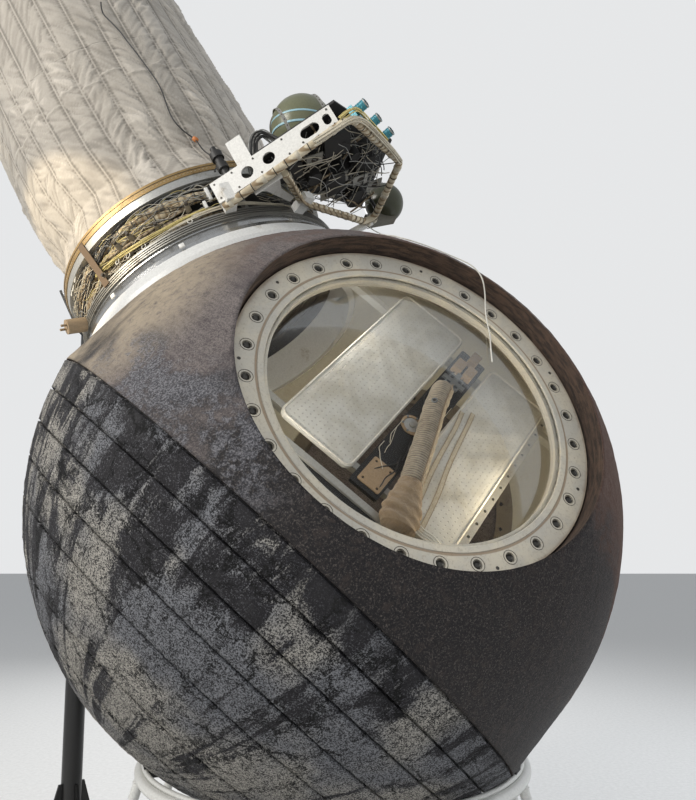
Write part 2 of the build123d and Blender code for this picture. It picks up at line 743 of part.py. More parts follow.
# Small canisters on the bay's floor, between the posts on the front and left
with BuildPart() as bay_canisters:
    for step in range(first_canister, first_canister + canister_count):
        angle = post_phase + (step + 0.5) * 360 / post_count
        with BuildSketch(facing(airlock_axis, foot_level)):
            with PolarLocations(canister_circle_radius, 1, start_angle=angle):
                Circle(canister_radius)
        extrude(amount=canister_height)
    canister_ends = bay_canisters.faces().filter_by(Plane(bay.origin, z_dir=airlock_axis))
    fillet(canister_ends.group_by(Axis(centre, airlock_axis))[-1].edges(), canister_radius / 3)
bay_canisters.part.label = "bay_canisters"
export_step(bay_canisters.part, "parts/bay_canisters.step")

# Cylindrical valve with two prongs on the bay's lower left
with BuildPart() as side_valve:
    outwards = turned(bay, side_valve_angle).x_dir
    valve_plane = Plane(origin=centre + airlock_axis * side_valve_level, x_dir=airlock_axis, z_dir=outwards)
    with BuildSketch(valve_plane.offset(upper_ring_radius - side_valve_root)):
        Circle(side_valve_radius)
    extrude(amount=side_valve_length + side_valve_root)
    with BuildSketch(valve_plane.offset(side_valve_reach)):
        with Locations((0, prong_spacing / 2), (0, -prong_spacing / 2)):
            Circle(prong_radius)
    extrude(amount=prong_length)
    with BuildSketch(facing(airlock_axis, side_valve_level - 2 * side_valve_radius)):
        Circle(bay_ring_radius + seat_gap)
    extrude(amount=4 * side_valve_radius, mode=Mode.SUBTRACT)
side_valve.part.label = "side_valve"
export_step(side_valve.part, "parts/side_valve.step")


def console_point(place, level):
    """Point of the console from its place across the airlock's axis and its level along it."""
    return bay.from_local_coords(Vector(place[0], place[1], level))


# White channel bar with its lightening holes
bar_from, bar_to = console_point(bar_start, console_level), console_point(bar_end, console_level)
bar_along = (bar_to - bar_from).normalized()
bar_length = (bar_to - bar_from).length
bar_plane = Plane(origin=(bar_from + bar_to) / 2 + airlock_axis * (bar_height / 2), x_dir=bar_along,
                  z_dir=bar_along.cross(airlock_axis))
with BuildPart() as console_bar:
    with BuildSketch(bar_plane):
        Rectangle(bar_length, bar_height)
        with Locations((-0.22 * bar_length, 0), (-0.04 * bar_length, 0)):
            Circle(bar_hole_radius, mode=Mode.SUBTRACT)
        with Locations((0.30 * bar_length, 0)):
            SlotOverall(long_slot[0], long_slot[1], mode=Mode.SUBTRACT)
        with Locations((0.44 * bar_length, 0)):
            SlotOverall(end_slot[0], end_slot[1], rotation=90, mode=Mode.SUBTRACT)
    extrude(amount=-bar_wall)
    with BuildSketch(bar_plane):
        with Locations((0, (bar_height - bar_wall) / 2), (0, -(bar_height - bar_wall) / 2)):
            Rectangle(bar_length, bar_wall)
    extrude(amount=-bar_flange)
console_bar.part.label = "console_bar"
export_step(console_bar.part, "parts/console_bar.step")

# Taped tube frame under the console
tube_level = console_level - console_tube_radius - seat_gap
frame_route = [(bar_start[0] + 10, bar_start[1] + 12), (console_corner[0], console_corner[1] + 24),
               console_far, console_low, console_inner, console_end]
with BuildPart() as console_frame:
    with BuildLine():
        frame_points = [console_point(place, tube_level) for place in frame_route]
        route = FilletPolyline(*frame_points, radius=frame_bend_radius)
    with BuildSketch(Plane(origin=route @ 0, z_dir=route % 0)):
        Circle(console_tube_radius)
    sweep()
console_frame.part.label = "console_frame"
export_step(console_frame.part, "parts/console_frame.step")

# Shelf on top of the bar, on short legs from the tube frame
shelf_level = console_level + bar_height
shelf_outline = [(330.0, -698.0), (668.0, -800.0), (930.0, -458.0), (792.0, -84.0), (445.0, -455.0),
                 (364.0, -566.0)]
leg_shares = [(1, 0.88), (2, 0.77), (3, 0.89)]
with BuildPart() as console_shelf:
    with BuildSketch(facing(airlock_axis, shelf_level)):
        with BuildLine():
            Polyline(*shelf_outline, close=True)
        make_face()
    extrude(amount=shelf_thickness)
    for edge, share in leg_shares:
        start_place, end_place = frame_route[edge], frame_route[edge + 1]
        leg_place = tuple(a + share * (b - a) for a, b in zip(start_place, end_place))
        with BuildSketch(facing(airlock_axis, console_level)):
            with Locations(leg_place):
                Circle(shelf_leg_radius)
        extrude(amount=bar_height)
console_shelf.part.label = "console_shelf"
export_step(console_shelf.part, "parts/console_shelf.step")

# Brackets that carry the console from the bay's lower ring: place, size outwards, size across, bottom, top
low_bracket = (console_low[0] + bay_ring_radius) / 2
console_brackets_table = [
    (bar_start[0] + 40, bar_start[1] + 20, 90.0, 46.0, console_level - 16, console_level + 60),
    (console_inner[0], console_inner[1], 90.0, 50.0, bay_ring_top - 30, console_level - 2),
    (low_bracket, console_low[1] - 6, 180.0, 24.0, bay_ring_top - 24, bay_ring_top),
]
with BuildPart() as console_brackets:
    for u, v, deep, wide, bottom, top in console_brackets_table:
        with BuildSketch(facing(airlock_axis, bottom)):
            with Locations((u, v)):
                Rectangle(deep, wide, rotation=degrees(atan2(v, u)))
        extrude(amount=top - bottom)
    with BuildSketch(facing(airlock_axis, console_level - 2 * bar_height)):
        Circle(bay_ring_radius + seat_gap)
    extrude(amount=4 * bar_height, mode=Mode.SUBTRACT)
    add(console_bar.part, mode=Mode.SUBTRACT)
    add(console_frame.part, mode=Mode.SUBTRACT)
    add(console_shelf.part, mode=Mode.SUBTRACT)
console_brackets.part.label = "console_brackets"
export_step(console_brackets.part, "parts/console_brackets.step")

# Dark equipment under the shelf: place, size along u, size along v, height
equipment_boxes = [(430.0, -610.0, 120.0, 80.0, 70.0), (640.0, -660.0, 110.0, 110.0, 76.0),
                   (775.0, -440.0, 90.0, 110.0, 60.0), (625.0, -440.0, 90.0, 110.0, 82.0)]
equipment_drums = [(535.0, -530.0, 32.0, 84.0), (730.0, -270.0, 50.0, 70.0), (715.0, -565.0, 22.0, 86.0)]
with BuildPart() as console_equipment:
    for u, v, wide, deep, tall in equipment_boxes:
        with BuildSketch(facing(airlock_axis, shelf_level - tall)):
            with Locations((u, v)):
                RectangleRounded(wide, deep, 10)
        extrude(amount=tall)
    for u, v, radius, tall in equipment_drums:
        with BuildSketch(facing(airlock_axis, shelf_level - tall)):
            with Locations((u, v)):
                Circle(radius)
        extrude(amount=tall)
console_equipment.part.label = "console_equipment"
export_step(console_equipment.part, "parts/console_equipment.step")

# White upright bracket and the dark valve beside it, on the bar; the valve's steps give radius, bottom, top
valve_steps = [(15.0, 0.0, 30.0), (23.0, 30.0, 58.0), (17.0, 58.0, 84.0), (25.0, 84.0, 112.0),
               (12.0, 112.0, 140.0)]
upright_width, upright_wall, upright_height = 64.0, 6.0, 112.0
bar_top = bar_plane.origin + airlock_axis * (bar_height / 2)
upright_plane = Plane(origin=bar_top, x_dir=bar_along, z_dir=airlock_axis)
with BuildPart() as console_upright:
    with BuildSketch(upright_plane):
        with Locations((-0.20 * bar_length, bar_flange / 2)):
            Rectangle(upright_width, bar_flange)
            with Locations((0, upright_wall)):
                Rectangle(upright_width - 2 * upright_wall, bar_flange, mode=Mode.SUBTRACT)
    extrude(amount=upright_height)
console_upright.part.label = "console_upright"
export_step(console_upright.part, "parts/console_upright.step")

with BuildPart() as console_valve:
    for radius, bottom, top in valve_steps:
        with BuildSketch(upright_plane.offset(bottom)):
            with Locations((-0.36 * bar_length, bar_flange / 2)):
                Circle(radius)
        extrude(amount=top - bottom)
console_valve.part.label = "console_valve"
export_step(console_valve.part, "parts/console_valve.step")

# Gas bottles
shelf_top = shelf_level + shelf_thickness
large_centre = console_point(large_bottle_place, shelf_top + large_bottle_lift + large_bottle_radius)
small_centre = console_point(small_bottle_place, small_bottle_level)
with BuildPart() as large_bottle:
    with Locations(Location(large_centre)):
        Sphere(large_bottle_radius)
    with BuildSketch(Plane(origin=large_centre, z_dir=airlock_axis)):
        Circle(bottle_neck_radius)
    extrude(amount=large_bottle_radius + bottle_neck_length)
large_bottle.part.label = "large_bottle"
export_step(large_bottle.part, "parts/large_bottle.step")

with BuildPart() as small_bottle:
    with Locations(Location(small_centre)):
        Sphere(small_bottle_radius)
small_bottle.part.label = "small_bottle"
export_step(small_bottle.part, "parts/small_bottle.step")

# Seats of the bottles: a ring on the shelf, and an arm from the tube frame
with BuildPart() as bottle_seats:
    with BuildSketch(facing(airlock_axis, shelf_top)):
        with Locations(large_bottle_place):
            Circle(0.44 * large_bottle_radius + bottle_seat_width)
            Circle(0.44 * large_bottle_radius, mode=Mode.SUBTRACT)
    extrude(amount=bottle_seat_height)
    with BuildSketch(facing(airlock_axis, tube_level - bottle_arm_drop)):
        arm_u, arm_v = small_bottle_place[0] - console_low[0], small_bottle_place[1] - console_low[1]
        with Locations((console_low[0] + arm_u / 2 - bottle_arm_drop, console_low[1] + arm_v / 2)):
            Rectangle(bottle_arm_length, bottle_arm_width, rotation=degrees(atan2(arm_v, arm_u)))
    extrude(amount=bottle_arm_height)
    with Locations(Location(large_centre)):
        Sphere(large_bottle_radius + seat_gap, mode=Mode.SUBTRACT)
    with Locations(Location(small_centre)):
        Sphere(small_bottle_radius + seat_gap, mode=Mode.SUBTRACT)
    add(console_frame.part, mode=Mode.SUBTRACT)
    add(console_brackets.part, mode=Mode.SUBTRACT)
bottle_seats.part.label = "bottle_seats"
export_step(bottle_seats.part, "parts/bottle_seats.step")

# Strap over the large bottle
with BuildPart() as bottle_strap:
    with BuildSketch(Plane(origin=large_centre, x_dir=bay.x_dir, z_dir=bay.x_dir.cross(airlock_axis))):
        Circle(large_bottle_radius + bottle_strap_thickness)
        Circle(large_bottle_radius + seat_gap, mode=Mode.SUBTRACT)
        with Locations((0, -large_bottle_radius)):
            Rectangle(4 * large_bottle_radius, 0.8 * large_bottle_radius, mode=Mode.SUBTRACT)
    extrude(amount=bottle_strap_width / 2, both=True)
    with BuildSketch(Plane(origin=large_centre, z_dir=airlock_axis)):
        Circle(bottle_neck_radius + seat_gap)
    extrude(amount=2 * large_bottle_radius, mode=Mode.SUBTRACT)
bottle_strap.part.label = "bottle_strap"
export_step(bottle_strap.part, "parts/bottle_strap.step")

# Electrical connectors on a rail over the frame's outer edge
with BuildPart() as connectors:
    edge_from = console_point(console_corner, console_level)
    edge_to = console_point(console_far, console_level)
    edge_along = (edge_to - edge_from).normalized()
    edge_out = edge_along.cross(airlock_axis)
    with BuildSketch(Plane(origin=(edge_from + edge_to) / 2, x_dir=edge_along, z_dir=airlock_axis)):
        with Locations((-20, 4)):
            Rectangle(connector_rail_length, connector_rail_width)
    extrude(amount=connector_rail_height)
    for share in connector_shares:
        lift = airlock_axis * (connector_rail_height / 2 + 1)
        at = edge_from + edge_along * (share * (edge_to - edge_from).length) + lift
        with BuildSketch(Plane(origin=at, z_dir=edge_out)):
            Circle(connector_radius)
        extrude(amount=connector_length)
connectors.part.label = "connectors"
export_step(connectors.part, "parts/connectors.step")

# Stand rings: height above the floor, ring radius, tube radius
collar_ring_level = cradle_ring_level - collar_ring_drop
collar_ring_radius = cradle_ring_radius + collar_ring_growth
floor_ring_radius = collar_ring_radius + floor_ring_growth
floor_ring_level = block_height + foot_plate_inset + floor_tube_radius
with BuildPart() as stand_upper_ring:
    with Locations((stand_centre[0], stand_centre[1], cradle_ring_level)):
        Torus(cradle_ring_radius, cradle_tube_radius)
stand_upper_ring.part.label = "stand_upper_ring"
export_step(stand_upper_ring.part, "parts/stand_upper_ring.step")

with BuildPart() as stand_collar_ring:
    with Locations((stand_centre[0], stand_centre[1], collar_ring_level)):
        Torus(collar_ring_radius, collar_tube_radius)
stand_collar_ring.part.label = "stand_collar_ring"
export_step(stand_collar_ring.part, "parts/stand_collar_ring.step")

with BuildPart() as stand_floor_ring:
    with Locations((stand_centre[0], stand_centre[1], floor_ring_level)):
        Torus(floor_ring_radius, floor_tube_radius)
stand_floor_ring.part.label = "stand_floor_ring"
export_step(stand_floor_ring.part, "parts/stand_floor_ring.step")

# Splayed legs, coped to both rings
with BuildPart() as stand_legs:
    for step in range(leg_count):
        azimuth = radians(leg_phase + step * 360 / leg_count)
        outward = Vector(cos(azimuth), sin(azimuth), 0)
        middle = Vector(stand_centre[0], stand_centre[1], 0)
        head = middle + outward * collar_ring_radius + Vector(0, 0, collar_ring_level)
        foot = middle + outward * floor_ring_radius + Vector(0, 0, floor_ring_level)
        with BuildSketch(Plane(origin=foot, z_dir=head - foot)):
            Circle(leg_tube_radius)
        extrude(amount=(head - foot).length)
    with Locations((stand_centre[0], stand_centre[1], collar_ring_level)):
        Torus(collar_ring_radius, collar_tube_radius + seat_gap, mode=Mode.SUBTRACT)
    with Locations((stand_centre[0], stand_centre[1], floor_ring_level)):
        Torus(floor_ring_radius, floor_tube_radius + seat_gap, mode=Mode.SUBTRACT)
stand_legs.part.label = "stand_legs"
export_step(stand_legs.part, "parts/stand_legs.step")

# Foot plates and wooden blocks
with BuildPart() as stand_feet:
    with BuildSketch(Plane((stand_centre[0], stand_centre[1], block_height))):
        with PolarLocations(floor_ring_radius, leg_count, start_angle=leg_phase):
            Circle(block_side / 2 - foot_plate_inset)
    extrude(amount=floor_tube_radius)
    with Locations((stand_centre[0], stand_centre[1], floor_ring_level)):
        Torus(floor_ring_radius, floor_tube_radius + seat_gap, mode=Mode.SUBTRACT)
stand_feet.part.label = "stand_feet"
export_step(stand_feet.part, "parts/stand_feet.step")

with BuildPart() as stand_blocks:
    with BuildSketch(Plane((stand_centre[0], stand_centre[1], 0))):
        with PolarLocations(floor_ring_radius, leg_count, start_angle=leg_phase):
            RegularPolygon(block_side / 2, 6, major_radius=False)
    extrude(amount=block_height)
stand_blocks.part.label = "stand_blocks"
export_step(stand_blocks.part, "parts/stand_blocks.step")

# Rubber pads between the cradle ring and the ball
with BuildPart() as stand_pads:
    pad_circle = cradle_ring_radius - pad_reach / 2 + cradle_tube_radius / 2
    with BuildSketch(Plane((stand_centre[0], stand_centre[1], cradle_ring_level - pad_height / 2))):
        with PolarLocations(pad_circle, leg_count, start_angle=leg_phase):
            Rectangle(pad_reach, pad_width)
    extrude(amount=pad_height)
    with Locations((stand_centre[0], stand_centre[1], cradle_ring_level)):
        Torus(cradle_ring_radius, cradle_tube_radius + seat_gap, mode=Mode.SUBTRACT)
    with Locations((stand_centre[0], stand_centre[1], collar_ring_level)):
        Torus(collar_ring_radius, collar_tube_radius + seat_gap, mode=Mode.SUBTRACT)
    add(ball_outline.part, mode=Mode.SUBTRACT)
stand_pads.part.label = "stand_pads"
export_step(stand_pads.part, "parts/stand_pads.step")

# Column: tube, base plate with gussets, and the saddle that cradles the airlock
column_up = Vector(0, 0, 1)
downhill = (airlock_axis * airlock_axis.Z - column_up).normalized()
saddle_inner = clamp_radius + seat_gap
saddle_face = airlock_axis * ((saddle_bottom + saddle_top) / 2) + downhill * (saddle_inner + saddle_wall)
column_reach = hypot(saddle_face.X, saddle_face.Y) + column_shift
column_place = (column_reach * cos(radians(airlock_azimuth)), column_reach * sin(radians(airlock_azimuth)))
with BuildPart() as column_saddle:
    saddle_plane = Plane(origin=centre + airlock_axis * saddle_bottom, x_dir=downhill, z_dir=airlock_axis)
    with BuildSketch(saddle_plane):
        with BuildLine():
            inner = CenterArc((0, 0), saddle_inner, -saddle_half_angle, 2 * saddle_half_angle)
            outer = CenterArc((0, 0), saddle_inner + saddle_wall, -saddle_half_angle, 2 * saddle_half_angle)
            Line(inner @ 0, outer @ 0)
            Line(inner @ 1, outer @ 1)
        make_face()
    extrude(amount=saddle_top - saddle_bottom)
column_saddle.part.label = "column_saddle"
export_step(column_saddle.part, "parts/column_saddle.step")

with BuildPart() as column_post:
    with BuildSketch(Plane((column_place[0], column_place[1], column_plate_thickness))):
        Circle(column_radius)
        Circle(column_bore, mode=Mode.SUBTRACT)
    extrude(amount=ball_height + airlock_axis.Z * saddle_top)
    with BuildSketch(facing(airlock_axis, 0)):
        Circle(saddle_inner + saddle_wall + seat_gap)
    extrude(amount=3 * saddle_top, mode=Mode.SUBTRACT)
column_post.part.label = "column_post"
export_step(column_post.part, "parts/column_post.step")

with BuildPart() as column_base:
    with BuildSketch(Plane((column_place[0], column_place[1], 0))):
        RectangleRounded(column_plate_side, column_plate_side, column_plate_corner)
        with GridLocations(column_hole_spacing, column_hole_spacing, 2, 2):
            Circle(column_hole_radius, mode=Mode.SUBTRACT)
    extrude(amount=column_plate_thickness)
    for turn in range(45, 405, 90):
        away = Vector(cos(radians(turn)), sin(radians(turn)), 0)
        with BuildSketch(Plane(origin=(column_place[0], column_place[1], column_plate_thickness), x_dir=away,
                               z_dir=away.cross(column_up))):
            with BuildLine():
                start = column_radius + seat_gap
                Polyline((start, 0), (start + gusset_reach, 0), (start + gusset_reach, gusset_toe),
                         (start + gusset_head, gusset_height), (start, gusset_height), close=True)
            make_face()
        extrude(amount=gusset_thickness / 2, both=True)
column_base.part.label = "column_base"
export_step(column_base.part, "parts/column_base.step")

# Cabin: the two pale padded panels, with local X along them
panel_back = panel_face - panel_thickness
liner_inner = cabin_radius - liner_wall - 2 * seat_gap


def cabin_plane(level):
    """Plane across the side hatch's axis, turned so that local X runs along the panels."""
    return turned(facing(hatch_axis, level), panel_turn)


# Panels: low and high end along X, low and high edge along Y
panels = [(-245.0, 640.0, 30.0, 334.0), (-270.0, 610.0, -400.0, -125.0)]
with BuildPart() as cabin_panels:
    with BuildSketch(cabin_plane(panel_back)):
        for low_x, high_x, low_y, high_y in panels:
            with Locations(((low_x + high_x) / 2, (low_y + high_y) / 2)):
                RectangleRounded(high_x - low_x, high_y - low_y, panel_corner)
    extrude(amount=panel_thickness)
    with Locations(Location(centre)):
        Sphere(liner_inner, mode=Mode.INTERSECT)
cabin_panels.part.label = "cabin_panels"
export_step(cabin_panels.part, "parts/cabin_panels.step")

# Rails from wall to wall behind the panels, the front one below them, and the spine in the gap
with BuildPart() as cabin_rails:
    with BuildSketch(cabin_plane(panel_back - rail_depth)):
        with Locations(*[(place, 0) for place in rail_places]):
            Rectangle(rail_width, 2 * cabin_radius)
    extrude(amount=rail_depth)
    with BuildSketch(cabin_plane(panel_back - front_rail_drop)):
        with Locations((front_rail_place, 0)):
            Rectangle(rail_width, 2 * cabin_radius)
    extrude(amount=panel_thickness)
    with Locations(Location(centre)):
        Sphere(liner_inner, mode=Mode.INTERSECT)
cabin_rails.part.label = "cabin_rails"
export_step(cabin_rails.part, "parts/cabin_rails.step")

spine_face = panel_back + spine_thickness
with BuildPart() as cabin_spine:
    with BuildSketch(cabin_plane(panel_back)):
        with Locations(spine_place):
            RectangleRounded(spine_size[0], spine_size[1], spine_corner)
    extrude(amount=spine_thickness)
cabin_spine.part.label = "cabin_spine"
export_step(cabin_spine.part, "parts/cabin_spine.step")

# Perforated rail beside the right panel
with BuildPart() as perforated_rail:
    with BuildSketch(cabin_plane(panel_back)):
        with Locations((holed_rail_middle, panels[1][2] - holed_rail_width / 2 - seat_gap)):
            Rectangle(holed_rail_length, holed_rail_width)
            with GridLocations(rail_hole_pitch, holed_rail_width, rail_hole_count, 1):
                Circle(rail_hole_radius, mode=Mode.SUBTRACT)
    extrude(amount=rail_width / 2)
perforated_rail.part.label = "perforated_rail"
export_step(perforated_rail.part, "parts/perforated_rail.step")

# Pieces on the spine: blocks, a round valve, a perforated plate
with BuildPart() as spine_fittings:
    with BuildSketch(cabin_plane(spine_face)):
        with Locations(*block_places):
            RectangleRounded(block_size[0], block_size[1], block_corner)
    extrude(amount=block_thickness)
    with BuildSketch(cabin_plane(spine_face)):
        with Locations(dial_place):
            Circle(dial_radius)
            Circle(dial_radius - dial_width, mode=Mode.SUBTRACT)
    extrude(amount=plate_thickness)
    with BuildSketch(cabin_plane(spine_face)):
        with Locations(plate_place):
            RectangleRounded(plate_size[0], plate_size[1], plate_corner)
            with GridLocations(*[side - 2 * plate_hole_inset for side in plate_size], 2, 2):
                Circle(plate_hole_radius, mode=Mode.SUBTRACT)
    extrude(amount=plate_thickness)
spine_fittings.part.label = "spine_fittings"
export_step(spine_fittings.part, "parts/spine_fittings.step")

# Cross-shaped buckle
with BuildPart() as harness_buckle:
    with BuildSketch(cabin_plane(spine_face)):
        with Locations(buckle_place):
            Circle(buckle_hub_radius)
    extrude(amount=buckle_stem)
    with BuildSketch(cabin_plane(spine_face + buckle_stem)):
        with Locations(buckle_place):
            Rectangle(buckle_bar[0], buckle_bar[1])
            Rectangle(buckle_arm[0], buckle_arm[1])
            RectangleRounded(buckle_body[0], buckle_body[1], spine_corner)
            with GridLocations(buckle_window_pitch[0], buckle_window_pitch[1], 2, 2):
                Rectangle(buckle_window[0], buckle_window[1], mode=Mode.SUBTRACT)
    extrude(amount=buckle_thickness)
harness_buckle.part.label = "harness_buckle"
export_step(harness_buckle.part, "parts/harness_buckle.step")

# Suit hose over the panels, and its cloth cuff
hose_level = panel_face + seat_gap + hose_radius
hose_places = [(292.0, -30.0), (180.0, -52.0), (60.0, -92.0), (-165.0, -154.0)]
with BuildPart() as suit_hose:
    with BuildLine():
        hose_points = [cabin_plane(hose_level).from_local_coords(Vector(x, y, 0)) for x, y in hose_places]
        hose_route = FilletPolyline(*hose_points, radius=hose_bend_radius)
    with BuildSketch(Plane(origin=hose_route @ 0, z_dir=hose_route % 0)):
        Circle(hose_radius)
    sweep()
suit_hose.part.label = "suit_hose"
export_step(suit_hose.part, "parts/suit_hose.step")

# Sections of the cuff: distance from the hose's end, half width, half thickness
cuff_sections = [(0.0, hose_radius, hose_radius), (80.0, 60.0, 44.0), (190.0, 72.0, 46.0)]
with BuildPart() as hose_cuff:
    away = hose_route % 1
    cuff_length = cuff_sections[-1][0]
    for along, long_radius, short_radius in cuff_sections:
        cuff_centre = hose_route @ 1 + away * along + hatch_axis * (cuff_lift * along / cuff_length)
        with BuildSketch(Plane(origin=cuff_centre, x_dir=away.cross(hatch_axis), z_dir=away)):
            Ellipse(long_radius, short_radius)
    loft()
hose_cuff.part.label = "hose_cuff"
export_step(hose_cuff.part, "parts/hose_cuff.step")

# Flat harness straps down the right panel: each one's two ends
strap_ends = [((300.0, -140.0), (-258.0, -222.0)), ((330.0, -172.0), (-262.0, -276.0))]
with BuildPart() as harness_straps:
    for start_xy, end_xy in strap_ends:
        run = Vector(end_xy[0] - start_xy[0], end_xy[1] - start_xy[1], 0)
        with BuildSketch(cabin_plane(panel_face + seat_gap)):
            with Locations(((start_xy[0] + end_xy[0]) / 2, (start_xy[1] + end_xy[1]) / 2)):
                Rectangle(run.length, strap_width, rotation=degrees(atan2(run.Y, run.X)))
        extrude(amount=strap_thickness)
    add(suit_hose.part, mode=Mode.SUBTRACT)
harness_straps.part.label = "harness_straps"
export_step(harness_straps.part, "parts/harness_straps.step")

# Dark equipment box beyond the front rail
with BuildPart() as cabin_box:
    with BuildSketch(cabin_plane(panel_back - box_drop)):
        with Locations((front_rail_place - rail_width / 2 - seat_gap - box_size[0] / 2, box_place)):
            RectangleRounded(box_size[0], box_size[1], box_corner)
    extrude(amount=box_height)
cabin_box.part.label = "cabin_box"
export_step(cabin_box.part, "parts/cabin_box.step")

# Loose lead from under the console, over the ball and the frame, onto the dome.
# Each point is across and up the hatch's plane, then its rise over the ball, the frame or the dome.
white_lead_diameter = 5.0
white_over_ball = [
    (-34.0, 1221.0, 185.1), (-43.0, 1172.0, 155.0), (-51.0, 1123.0, 126.2), (-56.0, 1073.0, 99.9),
    (-61.0, 1023.0, 74.8), (-66.0, 975.0, 54.5), (-70.0, 925.0, 36.0), (-74.0, 878.0, 21.4),
    (-75.0, 830.0, 12.1), (-76.0, 783.0, 6.2), (-79.0, 738.0, 6.4), (-74.0, 691.0, 5.8),
    (-26.0, 673.0, 6.3), (31.0, 662.0, 6.2), (89.0, 646.0, 5.7), (146.0, 631.0, 7.4), (203.0, 612.0, 11.0),
]
white_over_frame = [(249.0, 578.0, 80.5), (276.0, 533.0, 43.8), (281.0, 476.0, 24.4), (278.0, 416.0, 27.7)]
white_over_dome = [
    (274.0, 358.0, 4.4), (260.0, 304.0, 3.5), (243.0, 250.0, 3.2), (228.0, 195.0, 4.5), (219.0, 136.0, 3.2),
]
hatch_plane = facing(hatch_axis)
white_points = [
    *[(x, y, sqrt((ball_radius + rise) ** 2 - x**2 - y**2)) for x, y, rise in white_over_ball],
    *[(x, y, frame_face + rise) for x, y, rise in white_over_frame],
    *[(x, y, dome_centre + sqrt((dome_sphere + rise) ** 2 - x**2 - y**2)) for x, y, rise in white_over_dome],
]

# Thin lead down the sleeve to the console's valve: share of the sleeve's length, angle, rise over the cloth
black_lead_diameter = 6.0
black_over_sleeve = [
    (0.5122, -74.74, 5.1), (0.4810, -77.06, 5.4), (0.4492, -75.38, 5.6), (0.4168, -73.87, 5.5),
    (0.3829, -73.31, 5.7), (0.3494, -72.35, 5.6), (0.3157, -71.67, 6.5), (0.2819, -71.17, 6.7),
    (0.2483, -70.65, 5.4), (0.2143, -71.52, 6.6), (0.1811, -72.79, 5.3), (0.1473, -73.54, 5.3),
    (0.1177, -71.85, 5.8), (0.0921, -68.89, 10.0), (0.0589, -69.74, 6.6), (0.0267, -69.90, 10.1),
    (0.0041, -67.51, 15.0), (-0.0208, -71.25, 35.2), (-0.0443, -74.82, 53.1), (-0.0576, -75.35, 86.2),
]


def over_sleeve(share, angle, rise):
    """A point above the sleeve's cloth, in the airlock's own directions."""
    lower = (sleeve_foot_length / sleeve_length, 0.0, 0.0)
    inset, shift = 0.0, 0.0
    for upper in sleeve_table:
        if lower[0] < share <= upper[0]:
            part_way = (share - lower[0]) / (upper[0] - lower[0])
            inset, shift = [low + part_way * (high - low) for low, high in zip(lower[1:], upper[1:])]
        lower = upper
    outwards = Vector(1, 0, 0).rotate(Axis.Z, angle) * (sleeve_foot_radius - inset + rise)
    return (outwards.X + shift * top_shift, outwards.Y, clamp_top + share * sleeve_length)


black_points = [over_sleeve(*row) for row in black_over_sleeve]


def lead_solid(name, local_points, plane, diameter):
    """A round lead of straight runs with an arc as large as its two runs allow at each point."""
    points = [plane.from_local_coords(Vector(*place)) for place in local_points]
    runs = [after - before for before, after in zip(points, points[1:])]
    bends = [
        0.45 * min(run.length, following.length) / tan(radians(run.get_angle(following) / 2))
        for run, following in zip(runs, runs[1:])
    ]
    with BuildPart() as lead:
        with BuildLine():
            route = FilletPolyline(*points, radius=bends)
        with BuildSketch(Plane(origin=route @ 0, z_dir=route % 0)):
            Circle(diameter / 2)
        sweep()
    lead.part.label = name
    export_step(lead.part, "parts/" + name + ".step")
    print(name, "bend radii", [round(bend) for bend in bends])
    print(name, "length", round(route.length), "volume", round(lead.part.volume),
          "section times length", round(pi * diameter**2 / 4 * route.length))


lead_solid("white_lead", white_points, hatch_plane, white_lead_diameter)
lead_solid("black_lead", black_points, facing(airlock_axis), black_lead_diameter)
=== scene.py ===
"""Looks of a scorched descent capsule: ablator crust, bolted hatch, clear dome, fabric airlock, console and stand."""

import logging
from collections.abc import Iterable, Sequence
from dataclasses import dataclass
from enum import Enum
from math import asin, atan2, cos, degrees, exp, hypot, pi, radians, sin, sqrt
from random import Random

import bmesh
import bpy
from mathutils import Matrix, Vector, noise


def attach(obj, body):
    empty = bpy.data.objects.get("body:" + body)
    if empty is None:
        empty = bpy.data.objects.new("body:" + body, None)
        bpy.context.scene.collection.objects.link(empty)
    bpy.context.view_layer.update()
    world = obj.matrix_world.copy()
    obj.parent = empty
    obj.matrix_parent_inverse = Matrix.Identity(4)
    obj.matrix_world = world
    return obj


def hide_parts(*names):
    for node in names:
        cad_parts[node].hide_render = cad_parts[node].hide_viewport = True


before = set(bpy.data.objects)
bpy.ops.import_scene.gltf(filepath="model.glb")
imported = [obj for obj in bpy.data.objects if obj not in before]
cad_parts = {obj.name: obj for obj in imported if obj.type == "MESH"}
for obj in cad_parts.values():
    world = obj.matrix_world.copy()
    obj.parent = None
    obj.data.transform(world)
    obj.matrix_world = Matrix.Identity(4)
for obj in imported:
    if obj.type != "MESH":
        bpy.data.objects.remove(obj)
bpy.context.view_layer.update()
log = logging.getLogger("capsule")

CAPSULE = "capsule"
BALL_CENTRE = Vector((0.0, 0.0, 1.540))
BALL_RADIUS = 1.150
UP = Vector((0.0, 0.0, 1.0))
Colour = tuple[float, float, float]
Point = tuple[float, float, float]
Place = tuple[float, float]


def direction(azimuth: float, elevation: float) -> Vector:
    """Unit vector at an azimuth about +Z and an elevation above the floor, both in degrees."""
    flat = cos(radians(elevation))
    return Vector((flat * cos(radians(azimuth)), flat * sin(radians(azimuth)), sin(radians(elevation))))


